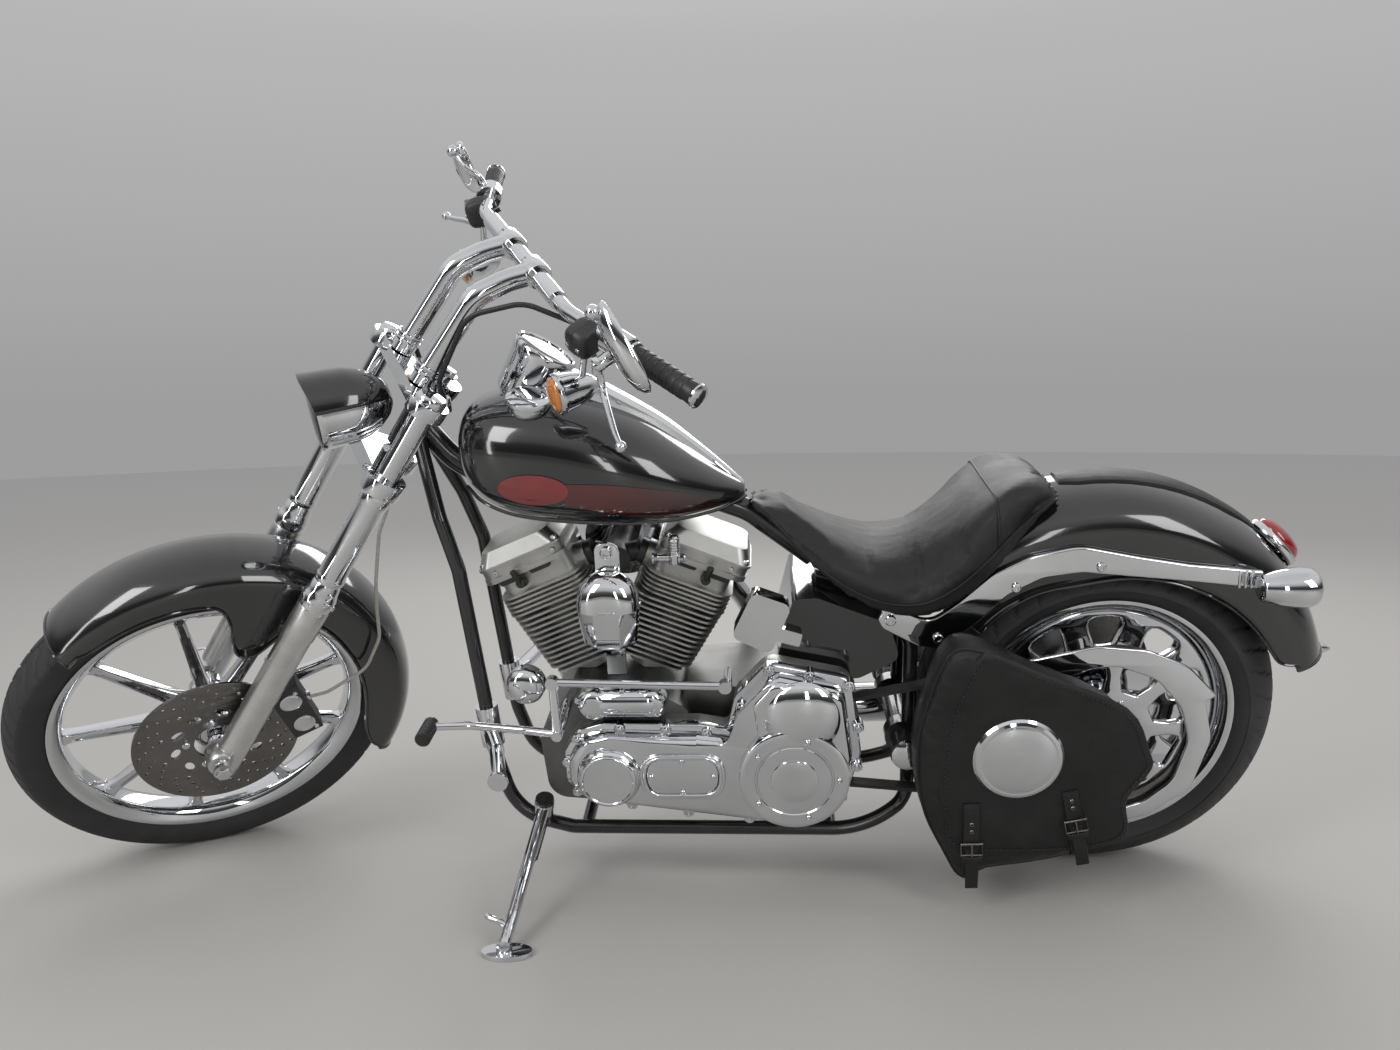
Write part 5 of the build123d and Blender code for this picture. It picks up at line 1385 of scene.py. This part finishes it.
for side, low in ((-1, 958), (1, 940)):
    fittings.append(ball_end((-334, side * 76, low - 12), (-335, side * 77, low + 18), 7.5))
assemble("hose_fittings", fittings, "steering", crisp=35)
SILENCERS = (((930, 226, 205), (690, 21, 0)), ((980, 230, 312), (650, 20, -18)))
SILENCER_RING = [(-14, 42), (-12, 43.6), (4, 43.6), (6, 42), (6, 37), (3, 36), (-60, 35)]
assemble("silencer_rings", [lathe(SILENCER_RING, spot, axis, 56) for spot, axis in SILENCERS])
throats = [lathe([(1.5, 36), (1.2, 20), (1, 0.01)], spot, axis, 40) for spot, axis in SILENCERS]
assemble("silencer_throats", throats, slot="black_cast", crisp=0)
pots = []
turn = radians(12)
out = outward(turn)
tangent = Vector((-sin(turn), 0, cos(turn)))
for step in (-32, 32):
    spot = FRONT_HUB + out * 152 + tangent * step + sideways(-105)
    pots.append(lathe([(0, 21), (4, 20), (6, 16), (5, 14), (5, 0.01)], spot, LEFT, 32))
    pots.append(bolt(FRONT_HUB + out * 168 + tangent * step * 1.6 + sideways(-106), LEFT, 5, 5))
assemble("caliper_pots", pots, "steering", crisp=35)

# Starter housing over the primary: two bulges on one flat foot, and a domed cap in front of it

foot = rounded([(-92, 384), (-104, 408), (-84, 436), (-52, 438), (-36, 424), (6, 426), (22, 440), (52, 436),
                (66, 410), (60, 382)], [10, 16, 16, 14, 12, 12, 14, 16, 14, 8], 5)
parts = [casting(foot, -138, -176, 14, 0.8, 6)]
for x, r, reach in ((-64, 30, 22), (36, 27, 18)):
    bulge = [(0, r), (-reach * 0.4, r * 0.98), (-reach * 0.75, r * 0.86), (-reach * 0.95, r * 0.66),
             (-reach, r * 0.4), (-reach, 0.01)]
    parts.append(lathe(bulge, (x, -166, 412), RIGHT, 40))
parts.append(lathe([(0, 0.01), (0, 24), (6, 28), (96, 28), (106, 25), (112, 16), (113, 0.01)],
                   (-62, -160, 413), (1, 0, 0), 40))
parts.append(lathe([(-10, 34), (-30, 34), (-36, 31), (-42, 24), (-45, 13), (-46, 0.01)], (-180, -152, 452),
                   (0.05, 1, -0.05), 44))
for x, z in ((-92, 420), (-12, 436), (58, 424)):
    parts.append(bolt((x, -172, z), LEFT, 6, 6))
assemble("starter_housing", parts, node="starter")

# Belt sprocket: teeth in the belt, a web with eight shaped windows, a raised collar round its hub and bolts

belt_hub = REAR_HUB + sideways(BELT_SIDE)
web = [circle(0, 0, 138, 96), circle(0, 0, 40, 40)]
window = rounded([(76, -14), (100, -28), (124, -34), (124, 34), (100, 28), (76, 14)],
                 [6, 14, 10, 10, 14, 6], 4)
for index in range(8):
    web.append(turned_loop(window, 2 * pi * (index + 0.5) / 8))
mesh = slab_mesh("sprocket_web", at_hub(REAR_HUB, web), 15, 4.5, 3)
stand_up(mesh, BELT_SIDE)
parts = [skin_of(mesh)]
teeth = lathe([(-13, 134), (-13, 148), (-11, 150), (11, 150), (13, 148), (13, 134), (6, 132), (-6, 132)],
              belt_hub, RIGHT, 120, loop=True)
solid("sprocket_teeth", *teeth, "rear_wheel", "disc_steel", crisp=40)
parts.append(lathe([(-7, 46), (-7, 56), (-5, 62), (0, 66), (26, 66), (26, 46)], belt_hub, RIGHT, 72,
                   loop=True))
for turn in turns(5):
    spot = REAR_HUB + Vector((53 * cos(turn), BELT_SIDE - 6, 53 * sin(turn)))
    parts.append(bolt(spot, LEFT, 7, 3.5))
assemble("sprocket", parts, "rear_wheel", node="rear_sprocket")

# Sewn seams of the seat: along the lower edge of its cushion and where the raised rear edge begins

seat_tree = tree_of(seat, "chassis")


def on_seat(start, aim, lift):
    """Point where a line from start towards aim meets the seat, lifted off it."""
    way = (Vector(aim) - Vector(start)).normalized()
    spot = seat_tree.ray_cast(Vector(start), way)[0]
    return None if spot is None else spot - way * lift


def seam_on_seat(rays, steps):
    """Raised seam through the points where rays of (start, aim) meet the seat."""
    line = [on_seat(start, aim, 0.6) for start, aim in rays]
    return bent_tube(smooth_line([point for point in line if point is not None], steps), 2.2, 8)


seams = []
for side in SIDES:
    rays = []
    for x, half, top, edge, low, pan in SEAT[1:-1]:
        level = low + (edge - low) * 0.38
        rays.append(((x, side * 400, level), (x, 0, level)))
    seams.append(seam_on_seat(rays, 6))
rays = []
for step in range(-14, 15):
    turn = radians(90 + step * 5.2)
    start = (628, 400 * cos(turn), 640 + 400 * sin(turn))
    rays.append((start, (628 + 6 * abs(step) / 14, 0, 640)))
seams.append(seam_on_seat(rays, 4))
assemble("seat_seams", seams, slot="black_leather", crisp=0)

# Belt guard with rolled edges, and rounded switch housings with a toggle, a button and screws

GUARD = [(600, 440), (705, 474), (812, 497), (900, 488), (970, 457), (1024, 400), (1006, 388), (1024, 314),
         (998, 212), (930, 160), (872, 142), (872, 172), (918, 188), (964, 230), (984, 312), (966, 376),
         (918, 432), (850, 458), (748, 448), (600, 412)]
GUARD_ROUND = [4, 60, 80, 60, 60, 3, 5, 60, 60, 50, 6, 6, 50, 50, 60, 60, 60, 60, 60, 4]
guard = slab("belt_guard_plate", [rounded(GUARD, GUARD_ROUND)], -141, -133, 3.6, "chassis", "chrome",
             crisp=40)
stay = [ball_end((680, -137, 436), (680, -137, 322), 7), bolt((680, -141, 436), LEFT, 10, 6)]
assemble("belt_guard_stay", stay)
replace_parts(guard, "belt_guard")
boxes, trim = [], []
for side in SIDES:
    along = mirrored(GRIP_DIR, side)
    at = on_bar(92, side) + Vector((-14, 0, -14))
    wide = Vector((1, 0, 0.2))
    wide = (wide - along * wide.dot(along)).normalized()
    tall = along.cross(wide)
    rings = []
    for step, grow in ((-22, 0.5), (-21.5, 0.74), (-19, 0.88), (-14, 0.97), (-1.4, 1), (-0.7, 0.97),
                       (0.7, 0.97), (1.4, 1), (14, 0.97), (19, 0.88), (21.5, 0.74), (22, 0.5)):
        ring = []
        for turn in turns(40):
            c, s = cos(turn), sin(turn)
            ring.append(at + along * step + wide * (27 * grow * copysign(abs(c) ** 0.55, c))
                        + tall * (26 * grow * copysign(abs(s) ** 0.55, s)))
        rings.append(ring)
    boxes.append(skin(rings))
    rear = wide if wide.x > 0 else -wide
    top = tall if tall.z > 0 else -tall
    boxes.append(ball_end(at + rear * 24 + top * 8 - along * 9, at + rear * 33 + top * 8 - along * 9, 6))
    boxes.append(ball_end(at + rear * 24 - top * 9 + along * 8, at + rear * 36 - top * 6 + along * 8, 4))
    for shift in (-11, 11):
        trim.append(bolt(at - top * 25 + along * shift, -top, 4, 3))
        trim.append(bolt(at - rear * 26 + along * shift, -rear, 4, 3))
assemble("switch_housings", boxes, "steering", "black_cast", crisp=50, node="switch_boxes")
assemble("switch_screws", trim, "steering", crisp=30)

# Painted shade: dark plates on the heads' sides where shade falls between the rocker boxes and the heads' fins

shade_plates = []
for side in SIDES:
    up, out = vee(side)
    for low, high, start, end in ((369, 384, -34, 8), (367, 384, 22, 70)):
        corners = [CRANK + up * a + out * b
                   for a, b in ((low, start), (high, start), (high, end), (low, end))]
        shade_plates.append(casting(rounded([(p.x, p.z) for p in corners], 6, 4), -66, -71.4, 1.5, 0.5, 3))
assemble("head_painted_shade", shade_plates, slot="black_cast")

# Choke knob and its fittings at the left of the rear head

knob = [(0, 7)]
for rib in range(6):
    knob += [(2 + rib * 5, 10), (4.5 + rib * 5, 10), (5.2 + rib * 5, 8.6), (6.3 + rib * 5, 8.6)]
knob += [(33, 9.5), (36, 7)]
base = [(0, 10), (2, 11), (18, 11), (20, 9)]
parts = [disc((84, -95, 662), (0.03, 0, 1), knob, 24), disc((84, -95, 646), (0, 0, 1), base, 24),
         ball_end((84, -95, 656), (84, -72, 656), 7), ball_end((46, -95, 657), (104, -95, 657), 7),
         hexagon((46, -95, 657), (1, 0, 0), 9, 9), hexagon((92, -95, 657), (1, 0, 0), 9, 9)]
assemble("choke_knob", parts, crisp=35)

# Small chrome tip at the end of the rear fender

tip = lathe([(-14, 0.01), (-14, 11), (-8, 13), (2, 13.5), (12, 12), (24, 8), (34, 3), (36, 0.01)],
            (1243, 0, 424), (1, 0, -0.12), 40)
solid("fender_tip", *tip, "chassis", "chrome", crisp=40)

# Floor, backdrop and light

FLOOR_RADIUS = 14.0
tree, shader = nodes_of("floor")
shader.inputs["Roughness"].default_value = 0.55
distance = tree.nodes.new("ShaderNodeVectorMath")
distance.operation = "LENGTH"
tree.links.new(coordinates(tree), distance.inputs[0])
fade = spread(tree, distance.outputs["Value"], 0.3, 0.7, 3.0, FLOOR_RADIUS)
tinted(tree, shader, fade, (0.42, 0.41, 0.39), (0.36, 0.36, 0.36))
floor_mesh = bpy.data.meshes.new("floor")
shape = bmesh.new()
bmesh.ops.create_circle(shape, cap_ends=True, segments=128, radius=FLOOR_RADIUS)
shape.to_mesh(floor_mesh)
shape.free()
floor = bpy.data.objects.new("floor", floor_mesh)
floor.location.z = -0.0005
floor_mesh.materials.append(MATERIALS["floor"])
bpy.context.scene.collection.objects.link(floor)

world = bpy.data.worlds.new("studio")
bpy.context.scene.world = world
world.use_nodes = True
tree = world.node_tree
axes = tree.nodes.new("ShaderNodeSeparateXYZ")
tree.links.new(coordinates(tree, "Generated"), axes.inputs["Vector"])


def sky(levels):
    """Grey that depends on the height of the direction: pairs of height and brightness."""
    ramp = tree.nodes.new("ShaderNodeValToRGB")
    stops = ramp.color_ramp.elements
    stops[0].position = levels[0][0]
    stops[1].position = levels[-1][0]
    for height, level in levels[1:-1]:
        stops.new(height)
    for stop, (height, level) in zip(stops, levels):
        stop.color = (level, level, level if height == 0 else level * 1.01, 1)
    tree.links.new(axes.outputs["Z"], ramp.inputs["Fac"])
    return ramp.outputs["Color"]


# A pale wall stands behind the left side's view; the rest of the room is darker below its bright ceiling
wall = sky([(0.0, 0.40), (0.10, 0.46), (0.30, 0.56), (0.55, 0.9), (0.9, 1.0)])
room = sky([(0.0, 0.05), (0.12, 0.07), (0.24, 0.16), (0.36, 0.62), (0.60, 0.95), (0.9, 0.85)])
mix = tree.nodes.new("ShaderNodeMix")
mix.data_type = "RGBA"
tree.links.new(spread(tree, axes.outputs["Y"], 0, 1, -0.05, 0.35), mix.inputs["Factor"])
tree.links.new(room, mix.inputs["A"])
tree.links.new(wall, mix.inputs["B"])
tree.links.new(mix.outputs["Result"], tree.nodes["Background"].inputs["Color"])
tree.nodes["Background"].inputs["Strength"].default_value = 0.85


def lamp(name, place, aim, size, power):
    """Rectangular area light at place, facing aim."""
    data = bpy.data.lights.new(name, "AREA")
    data.shape = "RECTANGLE"
    data.size, data.size_y = size
    data.energy = power
    light = bpy.data.objects.new(name, data)
    light.location = place
    light.rotation_mode = "QUATERNION"
    light.rotation_quaternion = (Vector(aim) - Vector(place)).to_track_quat("-Z", "Y")
    bpy.context.scene.collection.objects.link(light)


lamp("key", (-2.4, -2.9, 2.8), (-0.1, 0, 0.5), (1.3, 2.2), 62)
lamp("fill", (2.8, -2.6, 2.1), (0.2, 0, 0.5), (1.1, 2.0), 38)
lamp("strip_left", (-3.2, -3.0, 1.0), (-0.2, 0, 0.5), (0.35, 1.7), 12)
lamp("strip_middle", (0.9, -4.2, 1.1), (0.1, 0, 0.5), (0.35, 1.7), 12)
lamp("back", (0.6, 3.4, 2.8), (0, 0, 0.6), (3.4, 1.2), 60)

bpy.context.scene.view_settings.view_transform = "Standard"
